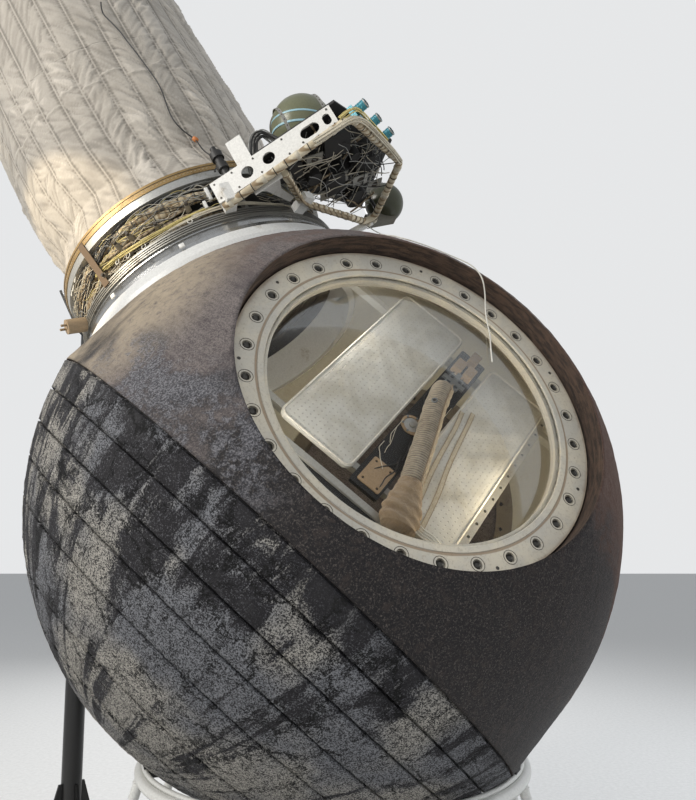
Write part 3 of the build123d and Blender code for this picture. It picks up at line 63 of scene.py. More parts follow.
@dataclass(frozen=True)
class Axis:
    """A round feature's own frame, with local X to the right and local Z outwards.

    Args:
        azimuth: the axis's azimuth about +Z, in degrees.
        elevation: the axis's elevation above the floor, in degrees.
        turn: how far local X is turned about the axis, in degrees.
    """

    azimuth: float
    elevation: float
    turn: float = 0.0

    @property
    def outward(self) -> Vector:
        """Unit vector along the axis."""
        return direction(self.azimuth, self.elevation)

    @property
    def basis(self) -> Matrix:
        """Turn from local directions to the row's directions."""
        outward = self.outward
        across = (Vector((1.0, 0.0, 0.0)) - outward * outward.x).normalized()
        side = outward.cross(across)
        basis = Matrix((across, side, outward)).transposed()
        return basis @ Matrix.Rotation(radians(self.turn), 3, "Z")

    def matrix(self, level: float = 0.0) -> Matrix:
        """Place of the local frame at a distance along the axis from the ball's centre."""
        return Matrix.Translation(BALL_CENTRE + self.outward * level) @ self.basis.to_4x4()

    def point(self, x: float, y: float, z: float) -> Vector:
        """Row point of a local place."""
        return BALL_CENTRE + self.basis @ Vector((x, y, z))

    def polar(self, radius: float, angle: float, level: float) -> Vector:
        """Row point at a radius and an angle in degrees about the axis."""
        return self.point(radius * cos(radians(angle)), radius * sin(radians(angle)), level)

    def local(self, place: Vector) -> Vector:
        """Local place of a row point."""
        return self.basis.transposed() @ (place - BALL_CENTRE)


SHIELD = Axis(12.0, 47.0)
HATCH = Axis(-66.0, 25.0)
AIRLOCK = Axis(160.0, 61.0)
CABIN = Axis(-66.0, 25.0, 55.5)


def rear_axis() -> Axis:
    """Axis of the rear opening, the hatch's mirror image in the plane of the other two axes."""
    normal = SHIELD.outward.cross(AIRLOCK.outward).normalized()
    outward = HATCH.outward - normal * (2.0 * HATCH.outward.dot(normal))
    return Axis(degrees(atan2(outward.y, outward.x)), degrees(asin(outward.z)))


REAR = rear_axis()


class Sheet:
    """Writes one material's node tree, on Object coordinates."""

    def __init__(self, name: str) -> None:
        self.material = bpy.data.materials.new(name)
        self.material.use_nodes = True
        self.tree = self.material.node_tree
        self.shader = self.tree.nodes["Principled BSDF"]
        self.place = self.tree.nodes.new("ShaderNodeTexCoord").outputs["Object"]

    def put(self, value, socket) -> None:
        """Links a socket's value, or sets it where the value is a number or a colour."""
        if isinstance(value, bpy.types.NodeSocket):
            self.tree.links.new(value, socket)
        elif isinstance(value, (tuple, list)) and len(value) == 3 and socket.type == "RGBA":
            socket.default_value = (*value, 1.0)
        else:
            socket.default_value = value

    def node(self, kind: str, inputs: dict | None = None, **settings):
        """A new node.

        Args:
            kind: its type, without the prefix.
            inputs: a value or a socket for each input, by name or number.
            settings: its settings, by name.

        Returns:
            The node.
        """
        node = self.tree.nodes.new("ShaderNode" + kind)
        for key, value in settings.items():
            setattr(node, key, value)
        for key, value in (inputs or {}).items():
            self.put(value, node.inputs[key])
        return node

    def mapped(self, axis: Axis | None = None, stretch: Point = (1.0, 1.0, 1.0)):
        """Coordinates in a feature's own frame, in metres from the ball's centre, then stretched.

        Args:
            axis: the feature's frame, or None for the row's own directions.
            stretch: factors of the local coordinates.

        Returns:
            The vector socket.
        """
        place = self.place
        if axis is not None:
            turn = axis.basis.transposed()
            place = self.node("Mapping", {"Rotation": turn.to_euler("XYZ"), "Location": -(turn @ BALL_CENTRE),
                                          "Vector": place}).outputs["Vector"]
        if stretch == (1.0, 1.0, 1.0):
            return place
        return self.node("Mapping", {"Scale": stretch, "Vector": place}).outputs["Vector"]

    def split(self, place):
        """The three parts of a vector."""
        return tuple(self.node("SeparateXYZ", {0: place}).outputs)

    def join(self, x, y, z):
        """A vector of three parts."""
        return self.node("CombineXYZ", {0: x, 1: y, 2: z}).outputs[0]

    def noise(self, scale: float, detail: float = 4.0, rough: float = 0.6, warp: float = 0.0, place=None):
        """Fractal noise from 0 to 1."""
        return self.node("TexNoise", {"Scale": scale, "Detail": detail, "Roughness": rough, "Distortion": warp,
                                      "Vector": place or self.place}).outputs[0]

    def cells(self, scale: float, place):
        """Distance to the nearest edge between cells."""
        node = self.node("TexVoronoi", {"Scale": scale, "Vector": place}, feature="DISTANCE_TO_EDGE")
        return node.outputs["Distance"]

    def waves(self, scale: float, along: str = "X", warp: float = 0.0, place=None, rings: bool = False):
        """Sine bands from 0 to 1 along an axis, or rings about it."""
        kind = {"wave_type": "RINGS", "rings_direction": along} if rings else {"bands_direction": along}
        return self.node("TexWave", {"Scale": scale, "Distortion": warp, "Vector": place or self.place},
                         **kind).outputs["Fac"]

    def calc(self, operation: str, first, second=0.0, clamp: bool = False):
        """A sum on one or two values."""
        return self.node("Math", {0: first, 1: second}, operation=operation, use_clamp=clamp).outputs[0]

    def times(self, first, second):
        """The product of two values."""
        return self.calc("MULTIPLY", first, second)

    def vector(self, operation: str, first, second=(0.0, 0.0, 0.0)):
        """A sum on two vectors; the result is a vector, or a number for a length or a dot product."""
        node = self.node("VectorMath", {0: first, 1: second}, operation=operation)
        return node.outputs["Value" if operation in {"DOT_PRODUCT", "LENGTH"} else "Vector"]

    def spread(self, value, low: float, high: float, to_low: float = 0.0, to_high: float = 1.0):
        """A smooth step of a value from one range to another."""
        return self.node("MapRange", {"From Min": low, "From Max": high, "To Min": to_low, "To Max": to_high,
                                      "Value": value}, interpolation_type="SMOOTHSTEP").outputs["Result"]

    def toward(self, azimuth: float, elevation: float, wide: float, narrow: float):
        """A soft spot on the ball: 0 beyond a wide angle from a direction, 1 within a narrow one, in degrees."""
        out = self.vector("NORMALIZE", self.vector("SUBTRACT", self.place, tuple(BALL_CENTRE)))
        facing = self.vector("DOT_PRODUCT", out, tuple(direction(azimuth, elevation)))
        return self.spread(facing, cos(radians(wide)), cos(radians(narrow)))

    def spots(self, *rows: tuple[float, float, float, float, float]):
        """The sum of soft spots, each given by what toward needs and its strength."""
        return self.total(*(self.scaled(self.toward(*row[:4]), row[4]) for row in rows))

    def meridians(self, place, around: float, along: float):
        """Coordinates that change with the turn about the local Z axis and along it, and the height along it.

        Args:
            place: the local coordinates.
            around: the factor of the turn.
            along: the factor of the height.

        Returns:
            The vector's socket and the height's.
        """
        x, y, z = self.split(place)
        flat_x, flat_y, _ = self.split(self.vector("NORMALIZE", self.join(x, y, 0.0)))
        return self.join(self.times(flat_x, around), self.times(flat_y, around), self.times(z, along)), z

    def total(self, *parts):
        """The sum of several values."""
        result = parts[0]
        for part in parts[1:]:
            result = self.calc("ADD", result, part)
        return result

    def scaled(self, value, factor: float, less: float = 0.0):
        """A value, less a number, times a factor."""
        return self.calc("MULTIPLY", self.calc("SUBTRACT", value, less), factor)

    def stored(self, name: str):
        """A value stored on the mesh's points."""
        return self.node("Attribute", attribute_name=name).outputs["Fac"]

    def blend(self, share, first, second):
        """A mix of two colours."""
        return self.node("Mix", {0: share, 6: first, 7: second}, data_type="RGBA").outputs[2]

    def bump(self, height, depth: float):
        """A normal raised by a height from 0 to 1, which stands out by a depth in metres."""
        return self.node("Bump", {"Distance": depth, "Height": height}).outputs["Normal"]

    def dress(self, **sockets) -> bpy.types.Material:
        """Sets the shader's sockets by name, with underscores for spaces."""
        for name, value in sockets.items():
            self.put(value, self.shader.inputs[name.replace("_", " ")])
        return self.material


class Finish:
    """Base of the finishes: one material each, made when first asked for."""

    made: dict[str, bpy.types.Material] = {}
    name: str

    def write(self, sheet: Sheet) -> bpy.types.Material:
        """Writes the finish's nodes."""
        raise NotImplementedError

    def material(self) -> bpy.types.Material:
        """The finish's material."""
        if self.name not in Finish.made:
            Finish.made[self.name] = self.write(Sheet(self.name))
        return Finish.made[self.name]


@dataclass(frozen=True)
class PaintFinish(Finish):
    """Paint or bare metal with mottling, grime and chips.

    Args:
        name: the material's name.
        colour: the clean colour.
        grime: the colour of the dirt in patches.
        dirt: how much of the surface is dirty, from 0 to 1.
        chip: the colour under the paint.
        chipped: how much has chipped off, from 0 to 1.
        roughness: the clean roughness.
        metallic: 1 for bare metal.
        grain: depth of the fine unevenness, in metres.
        scale: patches a metre.
    """

    name: str
    colour: Colour
    grime: Colour = (0.16, 0.13, 0.10)
    dirt: float = 0.35
    chip: Colour = (0.25, 0.24, 0.23)
    chipped: float = 0.08
    roughness: float = 0.45
    metallic: float = 0.0
    grain: float = 0.0003
    scale: float = 9.0

    def write(self, sheet: Sheet) -> bpy.types.Material:
        """Writes the finish's nodes."""
        patches = sheet.noise(self.scale, 6.0, 0.62, 0.4)
        fine = sheet.noise(self.scale * 14.0, 5.0, 0.7)
        tone = sheet.blend(sheet.spread(fine, 0.3, 0.7), self.colour, tuple(0.84 * part for part in self.colour))
        dirt = sheet.spread(patches, 0.72 - 0.35 * self.dirt, 0.86 - 0.2 * self.dirt)
        dirt = sheet.calc("MULTIPLY", dirt, sheet.spread(fine, 0.2, 0.75), clamp=True)
        dirty = sheet.blend(dirt, tone, self.grime)
        flakes = sheet.noise(self.scale * 5.0, 8.0, 0.75, 0.8)
        chips = sheet.spread(flakes, 0.80 - 0.3 * self.chipped, 0.815 - 0.3 * self.chipped)
        colour = sheet.blend(chips, dirty, self.chip)
        rough = sheet.calc("ADD", self.roughness, sheet.times(dirt, 0.22), clamp=True)
        height = sheet.calc("SUBTRACT", fine, chips)
        return sheet.dress(Base_Color=colour, Roughness=rough, Metallic=self.metallic,
                           Normal=sheet.bump(height, self.grain))


@dataclass(frozen=True)
class ClothFinish(Finish):
    """Woven cloth with threads, sheen and stains, and, where the mesh stores its folds, painted shade in the creases
    and painted highlights on the ridges.

    Args:
        name: the material's name.
        colour: the clean colour.
        shade: the colour of stains, and, darkened, of the painted shade in the folds.
        threads: threads a metre.
        weave: depth of the weave, in metres.
        frame_axis: frame of the threads.
        stained: share of the stains, from 0 to 1.
        folded: whether the mesh stores its folds, from 0 in a crease to 1 on a ridge, which set painted shade in the
            creases and painted highlights on the ridges.
    """

    name: str
    colour: Colour
    shade: Colour
    threads: float = 420.0
    weave: float = 0.0004
    frame_axis: Axis | None = None
    stained: float = 0.4
    folded: bool = False

    def write(self, sheet: Sheet) -> bpy.types.Material:
        """Writes the finish's nodes."""
        place = sheet.mapped(self.frame_axis)
        across = sheet.waves(self.threads / pi / 2.0, "X", 0.6, place)
        along = sheet.waves(self.threads / pi / 2.0, "Y", 0.6, place)
        upright = sheet.waves(self.threads / pi / 2.0, "Z", 0.6, place)
        weave = sheet.total(across, along, upright)
        stains = sheet.noise(5.0, 6.0, 0.65, 0.6)
        fine = sheet.noise(90.0, 4.0, 0.7)
        tone = sheet.blend(sheet.spread(stains, 0.62 - 0.3 * self.stained, 0.86 - 0.2 * self.stained),
                           self.colour, self.shade)
        colour = sheet.blend(sheet.spread(fine, 0.25, 0.8, 0.0, 0.35), tone, self.shade)
        if self.folded:
            fold = sheet.stored("fold")
            # painted shade: darkens the cloth in the creases
            colour = sheet.blend(sheet.spread(fold, 0.02, 0.48, 0.78, 0.0), colour,
                                 tuple(0.42 * part for part in self.shade))
            # painted highlight: lightens the cloth on the ridges
            colour = sheet.blend(sheet.spread(fold, 0.62, 0.98, 0.0, 0.75), colour,
                                 tuple(min(1.0, 1.32 * part) for part in self.colour))
        return sheet.dress(Base_Color=colour, Roughness=0.88, Sheen_Weight=0.2, Sheen_Roughness=0.5,
                           Normal=sheet.bump(weave, self.weave))


@dataclass(frozen=True)
class CharFinish(Finish):
    """Windward ablator: pale granules that thin out in black scorch patches and streaks, with cracks."""

    name: str = "windward_char"
    pale: Colour = (0.390, 0.370, 0.330)
    cool: Colour = (0.200, 0.205, 0.220)
    black: Colour = (0.016, 0.015, 0.017)

    def write(self, sheet: Sheet) -> bpy.types.Material:
        """Writes the finish's nodes."""
        place = sheet.mapped(SHIELD)
        meridian, z = sheet.meridians(place, 11.0, 2.0)
        streaks = sheet.noise(1.0, 7.0, 0.66, 0.9, meridian)
        patches = sheet.noise(3.1, 9.0, 0.66, 1.1, place)
        granules = sheet.noise(205.0, 3.0, 0.85, 0.0, place)
        clumps = sheet.noise(46.0, 5.0, 0.72, 0.5, place)
        dark_spots = sheet.spots((-112.0, 13.0, 17.0, 3.0, 0.050), (-134.0, 10.0, 34.0, 14.0, 0.028),
                                 (-98.0, -1.0, 18.0, 4.0, 0.075), (-85.0, -22.0, 12.0, 3.0, 0.060),
                                 (-68.0, -27.0, 18.0, 6.0, 0.070), (-128.0, 22.0, 14.0, 4.0, 0.045))
        pale_spots = sheet.spots((-122.0, -4.0, 26.0, 8.0, 0.040), (-98.0, -40.0, 34.0, 12.0, 0.050),
                                 (-90.0, -17.0, 10.0, 3.0, 0.045))
        scorch = sheet.total(sheet.scaled(streaks, 0.85, 0.5), sheet.scaled(patches, 0.70, 0.5),
                             sheet.scaled(clumps, 0.22, 0.5), dark_spots)
        scorch = sheet.calc("SUBTRACT", scorch, pale_spots)
        burnt = sheet.spread(scorch, -0.015, 0.095)
        grain = sheet.total(sheet.scaled(granules, 0.80), sheet.scaled(clumps, 0.20))
        level = sheet.calc("SUBTRACT", grain, sheet.scaled(burnt, 0.085))
        specks = sheet.spread(level, 0.440, 0.555)
        tint = sheet.blend(sheet.spread(sheet.noise(2.3, 3.0, 0.5, 0.0, place), 0.42, 0.60), self.pale, self.cool)
        tint = sheet.blend(burnt, tint, (0.135, 0.135, 0.148))
        colour = sheet.blend(specks, self.black, tint)
        soot = sheet.spread(sheet.total(scorch, sheet.scaled(clumps, 0.10, 0.5)), 0.110, 0.250, 0.0, 0.84)
        seam_band = sheet.times(sheet.spread(z, -0.42, -0.29), sheet.spread(patches, 0.42, 0.60))
        soot = sheet.calc("MAXIMUM", soot, sheet.scaled(seam_band, 0.55))
        colour = sheet.blend(soot, colour, self.black)
        bent = sheet.vector("ADD", place, sheet.vector("MULTIPLY", sheet.join(clumps, patches, streaks),
                                                       (0.16, 0.16, 0.16)))
        wide = sheet.spread(sheet.cells(2.6, bent), 0.002, 0.011, 1.0, 0.0)
        thin = sheet.spread(sheet.cells(6.5, bent), 0.004, 0.022, 1.0, 0.0)
        wide = sheet.times(wide, sheet.spread(patches, 0.40, 0.47))
        thin = sheet.times(thin, sheet.spread(streaks, 0.47, 0.53))
        cracks = sheet.calc("MAXIMUM", wide, thin)
        colour = sheet.blend(cracks, colour, (0.006, 0.006, 0.006))
        height = sheet.calc("SUBTRACT", sheet.total(grain, sheet.scaled(burnt, 0.4)), sheet.scaled(cracks, 1.6))
        return sheet.dress(Base_Color=colour, Roughness=sheet.spread(soot, 0.0, 1.0, 0.88, 0.55),
                           Specular_IOR_Level=0.32, Normal=sheet.bump(height, 0.0040))


@dataclass(frozen=True)
class LeeFinish(Finish):
    """Leeward ablator: mauve-grey with a fine meridional grain, soot-black under the hatch, rusty on one side, and a
    painted patch of sunlight near the airlock's collar.
    """

    name: str = "leeward_char"
    pale: Colour = (0.190, 0.165, 0.155)
    mauve: Colour = (0.066, 0.056, 0.058)
    black: Colour = (0.013, 0.012, 0.013)
    rust: Colour = (0.070, 0.038, 0.028)

    def write(self, sheet: Sheet) -> bpy.types.Material:
        """Writes the finish's nodes."""
        place = sheet.mapped(SHIELD)
        around, z = sheet.meridians(place, 14.0, 85.0)
        lines = sheet.noise(1.0, 6.0, 0.75, 0.6, around)
        patches = sheet.noise(3.4, 8.0, 0.64, 0.9, place)
        granules = sheet.noise(180.0, 3.0, 0.8, 0.0, place)
        clumps = sheet.noise(36.0, 6.0, 0.72, 0.4, place)
        grain = sheet.total(sheet.scaled(granules, 0.55), sheet.scaled(lines, 0.30), sheet.scaled(clumps, 0.15))
        # painted sunlight: a warm pale patch on the upper left near the airlock's collar
        painted_sunlit_patch = sheet.times(sheet.toward(-144.0, 38.0, 31.0, 12.0), sheet.spread(clumps, 0.2, 0.6))
        base = sheet.blend(sheet.spread(grain, 0.38, 0.60), self.mauve, self.pale)
        base = sheet.blend(sheet.spread(patches, 0.44, 0.66, 0.0, 0.75), base, self.mauve)
        # the painted sunlight's warm colour
        base = sheet.blend(sheet.scaled(painted_sunlit_patch, 0.95), base, (0.36, 0.30, 0.22))
        top = sheet.times(sheet.toward(-70.0, 62.0, 34.0, 14.0), sheet.spread(patches, 0.38, 0.6))
        base = sheet.blend(sheet.scaled(top, 0.7), base, (0.150, 0.098, 0.080))
        rusty = sheet.total(sheet.toward(-28.0, 2.0, 46.0, 14.0), sheet.scaled(patches, 0.9, 0.5),
                            sheet.scaled(clumps, 0.5, 0.5))
        brown = sheet.blend(sheet.spread(grain, 0.40, 0.62), self.rust, (0.115, 0.082, 0.070))
        base = sheet.blend(sheet.spread(rusty, 0.15, 0.70), base, brown)
        near_seam = sheet.spread(z, 0.10, -0.20, 0.0, 0.62)
        sooty = sheet.total(near_seam, sheet.toward(-76.0, -14.0, 38.0, 20.0), sheet.toward(-52.0, -24.0, 34.0, 12.0),
                            sheet.scaled(patches, 2.2, 0.5), sheet.scaled(clumps, 0.9, 0.5))
        sooty = sheet.calc("SUBTRACT", sooty, sheet.scaled(sheet.toward(-128.0, 20.0, 24.0, 6.0), 0.25))
        specks = sheet.blend(sheet.spread(granules, 0.50, 0.70), self.black, (0.110, 0.094, 0.084))
        specks = sheet.blend(sheet.spread(clumps, 0.50, 0.66, 0.0, 0.65), specks, (0.048, 0.037, 0.032))
        soot = sheet.spread(sooty, 0.18, 0.85, 0.0, 0.95)
        colour = sheet.blend(soot, base, specks)
        ash = sheet.times(sheet.spread(z, 0.02, -0.15), sheet.toward(-112.0, 14.0, 26.0, 12.0))
        ash = sheet.times(ash, sheet.spread(sheet.total(clumps, sheet.scaled(patches, 0.8, 0.5)), 0.44, 0.60))
        colour = sheet.blend(sheet.scaled(ash, 0.70), colour,
                             sheet.blend(sheet.spread(granules, 0.42, 0.6), (0.05, 0.05, 0.058), (0.24, 0.24, 0.26)))
        height = sheet.total(grain, sheet.scaled(clumps, 0.6))
        return sheet.dress(Base_Color=colour, Roughness=sheet.spread(soot, 0.0, 1.0, 0.80, 0.60),
                           Specular_IOR_Level=0.24, Normal=sheet.bump(height, 0.0042))


@dataclass(frozen=True)
class RecessFinish(Finish):
    """Cut edge of the ablator inside the hatch's recess: dark rust brown with sideways grain, partly its own colour
    and partly painted shade of the recess.
    """

    name: str = "recess_edge"

    def write(self, sheet: Sheet) -> bpy.types.Material:
        """Writes the finish's nodes."""
        place = sheet.mapped(HATCH, (1.0, 1.0, 6.0))
        layers = sheet.noise(14.0, 6.0, 0.68, 0.5, place)
        fine = sheet.noise(150.0, 4.0, 0.7)
        # dark brown tones, partly the cut ablator's colour and partly painted shade of the recess
        tone = sheet.blend(sheet.spread(layers, 0.36, 0.64), (0.020, 0.014, 0.011), (0.085, 0.052, 0.036))
        colour = sheet.blend(sheet.spread(fine, 0.5, 0.75, 0.0, 0.6), tone, (0.020, 0.015, 0.013))
        height = sheet.calc("ADD", layers, sheet.times(fine, 0.5))
        return sheet.dress(Base_Color=colour, Roughness=0.78, Normal=sheet.bump(height, 0.003))


@dataclass(frozen=True)
class RingFinish(Finish):
    """Stained cream aluminium of the hatch ring, with a brown line at the inner lip and worn patches."""

    name: str = "hatch_ring_metal"
    cream: Colour = (0.70, 0.640, 0.510)
    bare: Colour = (0.58, 0.550, 0.475)
    stain: Colour = (0.27, 0.17, 0.09)

    def write(self, sheet: Sheet) -> bpy.types.Material:
        """Writes the finish's nodes."""
        place = sheet.mapped(HATCH)
        x, y, _ = sheet.split(place)
        radius = sheet.calc("SQRT", sheet.calc("ADD", sheet.times(x, x), sheet.times(y, y)))
        patches = sheet.noise(7.0, 6.0, 0.62, 0.5)
        fine = sheet.noise(120.0, 5.0, 0.7)
        turned = sheet.noise(1.0, 3.0, 0.6, 0.0, sheet.join(sheet.times(radius, 900.0), 0.0, 0.0))
        tone = sheet.blend(sheet.spread(patches, 0.36, 0.66), self.cream, self.bare)
        tone = sheet.blend(sheet.spread(fine, 0.50, 0.74, 0.0, 0.6), tone, (0.38, 0.31, 0.22))
        lip = sheet.calc("ABSOLUTE", sheet.calc("SUBTRACT", radius, 0.5535))
        lip = sheet.spread(sheet.calc("ADD", lip, sheet.times(patches, 0.006)), 0.0055, 0.0085, 1.0, 0.0)
        outer = sheet.spread(sheet.calc("ADD", radius, sheet.times(patches, 0.03)), 0.636, 0.650)
        stained = sheet.calc("ADD", sheet.times(lip, 0.7), sheet.times(outer, 0.55), clamp=True)
        colour = sheet.blend(stained, tone, self.stain)
        height = sheet.calc("ADD", sheet.times(turned, 0.6), fine)
        return sheet.dress(Base_Color=colour, Metallic=0.15, Roughness=sheet.spread(patches, 0.3, 0.7, 0.42, 0.58),
                           Normal=sheet.bump(height, 0.00035))


@dataclass(frozen=True)
class ClearFinish(Finish):
    """Clear dome: see-through, with reflections that grow towards its edge and faint smudges."""

    name: str = "clear_dome"

    def write(self, sheet: Sheet) -> bpy.types.Material:
        """Writes the finish's nodes."""
        edge = sheet.node("Fresnel", {"IOR": 1.28})
        smudges = sheet.spread(sheet.noise(6.0, 7.0, 0.7, 1.2), 0.52, 0.82, 0.0, 0.04)
        alpha = sheet.calc("ADD", sheet.times(edge.outputs[0], 0.30), smudges, clamp=True)
        return sheet.dress(Base_Color=(0.95, 0.97, 0.97), Metallic=1.0, Roughness=0.03, Alpha=alpha)


@dataclass(frozen=True)
class DottedCloth(Finish):
    """Padded panel cover: off-white coated cloth with rows of pressed dots."""

    name: str
    colour: Colour = (0.52, 0.51, 0.46)
    spacing: float = 0.020

    def write(self, sheet: Sheet) -> bpy.types.Material:
        """Writes the finish's nodes."""
        place = sheet.mapped(CABIN)
        x, y, _ = sheet.split(place)
        row = sheet.calc("FRACT", sheet.calc("DIVIDE", x, self.spacing))
        column = sheet.calc("FRACT", sheet.calc("DIVIDE", y, self.spacing))
        middle = sheet.join(sheet.calc("SUBTRACT", row, 0.5), sheet.calc("SUBTRACT", column, 0.5), 0.0)
        dots = sheet.spread(sheet.vector("LENGTH", middle), 0.09, 0.18, 1.0, 0.0)
        stains = sheet.noise(6.0, 5.0, 0.6, 0.5)
        tone = sheet.blend(sheet.spread(stains, 0.40, 0.72, 0.0, 0.8), self.colour, (0.38, 0.35, 0.28))
        colour = sheet.blend(sheet.times(dots, 0.55), tone, (0.30, 0.28, 0.24))
        height = sheet.calc("SUBTRACT", sheet.times(sheet.noise(60.0, 4.0), 0.5), dots)
        return sheet.dress(Base_Color=colour, Roughness=0.62, Normal=sheet.bump(height, 0.0008))


@dataclass(frozen=True)
class BandedFinish(Finish):
    """Tape-wrapped or ribbed piece, banded at a pitch along a local axis, with painted shade between the bands.

    Args:
        name: the material's name.
        colour: the crown's colour.
        shade: the colour of stains, and of the painted shade between the bands.
        pitch: distance from band to band, in metres.
        direction: letter of the local axis that the bands follow.
        depth: depth of the bands, in metres.
        frame_axis: local frame.
    """

    name: str
    colour: Colour
    shade: Colour
    pitch: float
    direction: str = "X"
    depth: float = 0.0008
    frame_axis: Axis | None = None

    def write(self, sheet: Sheet) -> bpy.types.Material:
        """Writes the finish's nodes."""
        place = sheet.mapped(self.frame_axis)
        bands = sheet.waves(2.0 * pi / self.pitch / 20.0, self.direction, 1.2, place)
        stains = sheet.noise(16.0, 6.0, 0.65, 0.5)
        fine = sheet.noise(170.0, 4.0, 0.7)
        # painted shade: darker between the bands
        tone = sheet.blend(sheet.spread(bands, 0.05, 0.45), self.shade, self.colour)
        colour = sheet.blend(sheet.spread(stains, 0.44, 0.74, 0.0, 0.75), tone, self.shade)
        height = sheet.calc("ADD", bands, sheet.times(fine, 0.5))
        return sheet.dress(Base_Color=colour, Roughness=0.74, Normal=sheet.bump(height, self.depth))


@dataclass(frozen=True)
class WoodFinish(Finish):
    """Raw sawn wood with growth rings."""

    name: str = "block_wood"

    def write(self, sheet: Sheet) -> bpy.types.Material:
        """Writes the finish's nodes."""
        place = sheet.mapped(None, (1.0, 0.35, 1.0))
        rings = sheet.waves(22.0, "Z", 6.0, place, rings=True)
        fibres = sheet.noise(240.0, 4.0, 0.7, 0.0, sheet.mapped(None, (0.06, 1.0, 1.0)))
        tone = sheet.blend(rings, (0.33, 0.17, 0.075), (0.50, 0.30, 0.15))
        colour = sheet.blend(sheet.spread(fibres, 0.4, 0.7, 0.0, 0.6), tone, (0.22, 0.11, 0.05))
        return sheet.dress(Base_Color=colour, Roughness=0.72, Normal=sheet.bump(fibres, 0.0006))


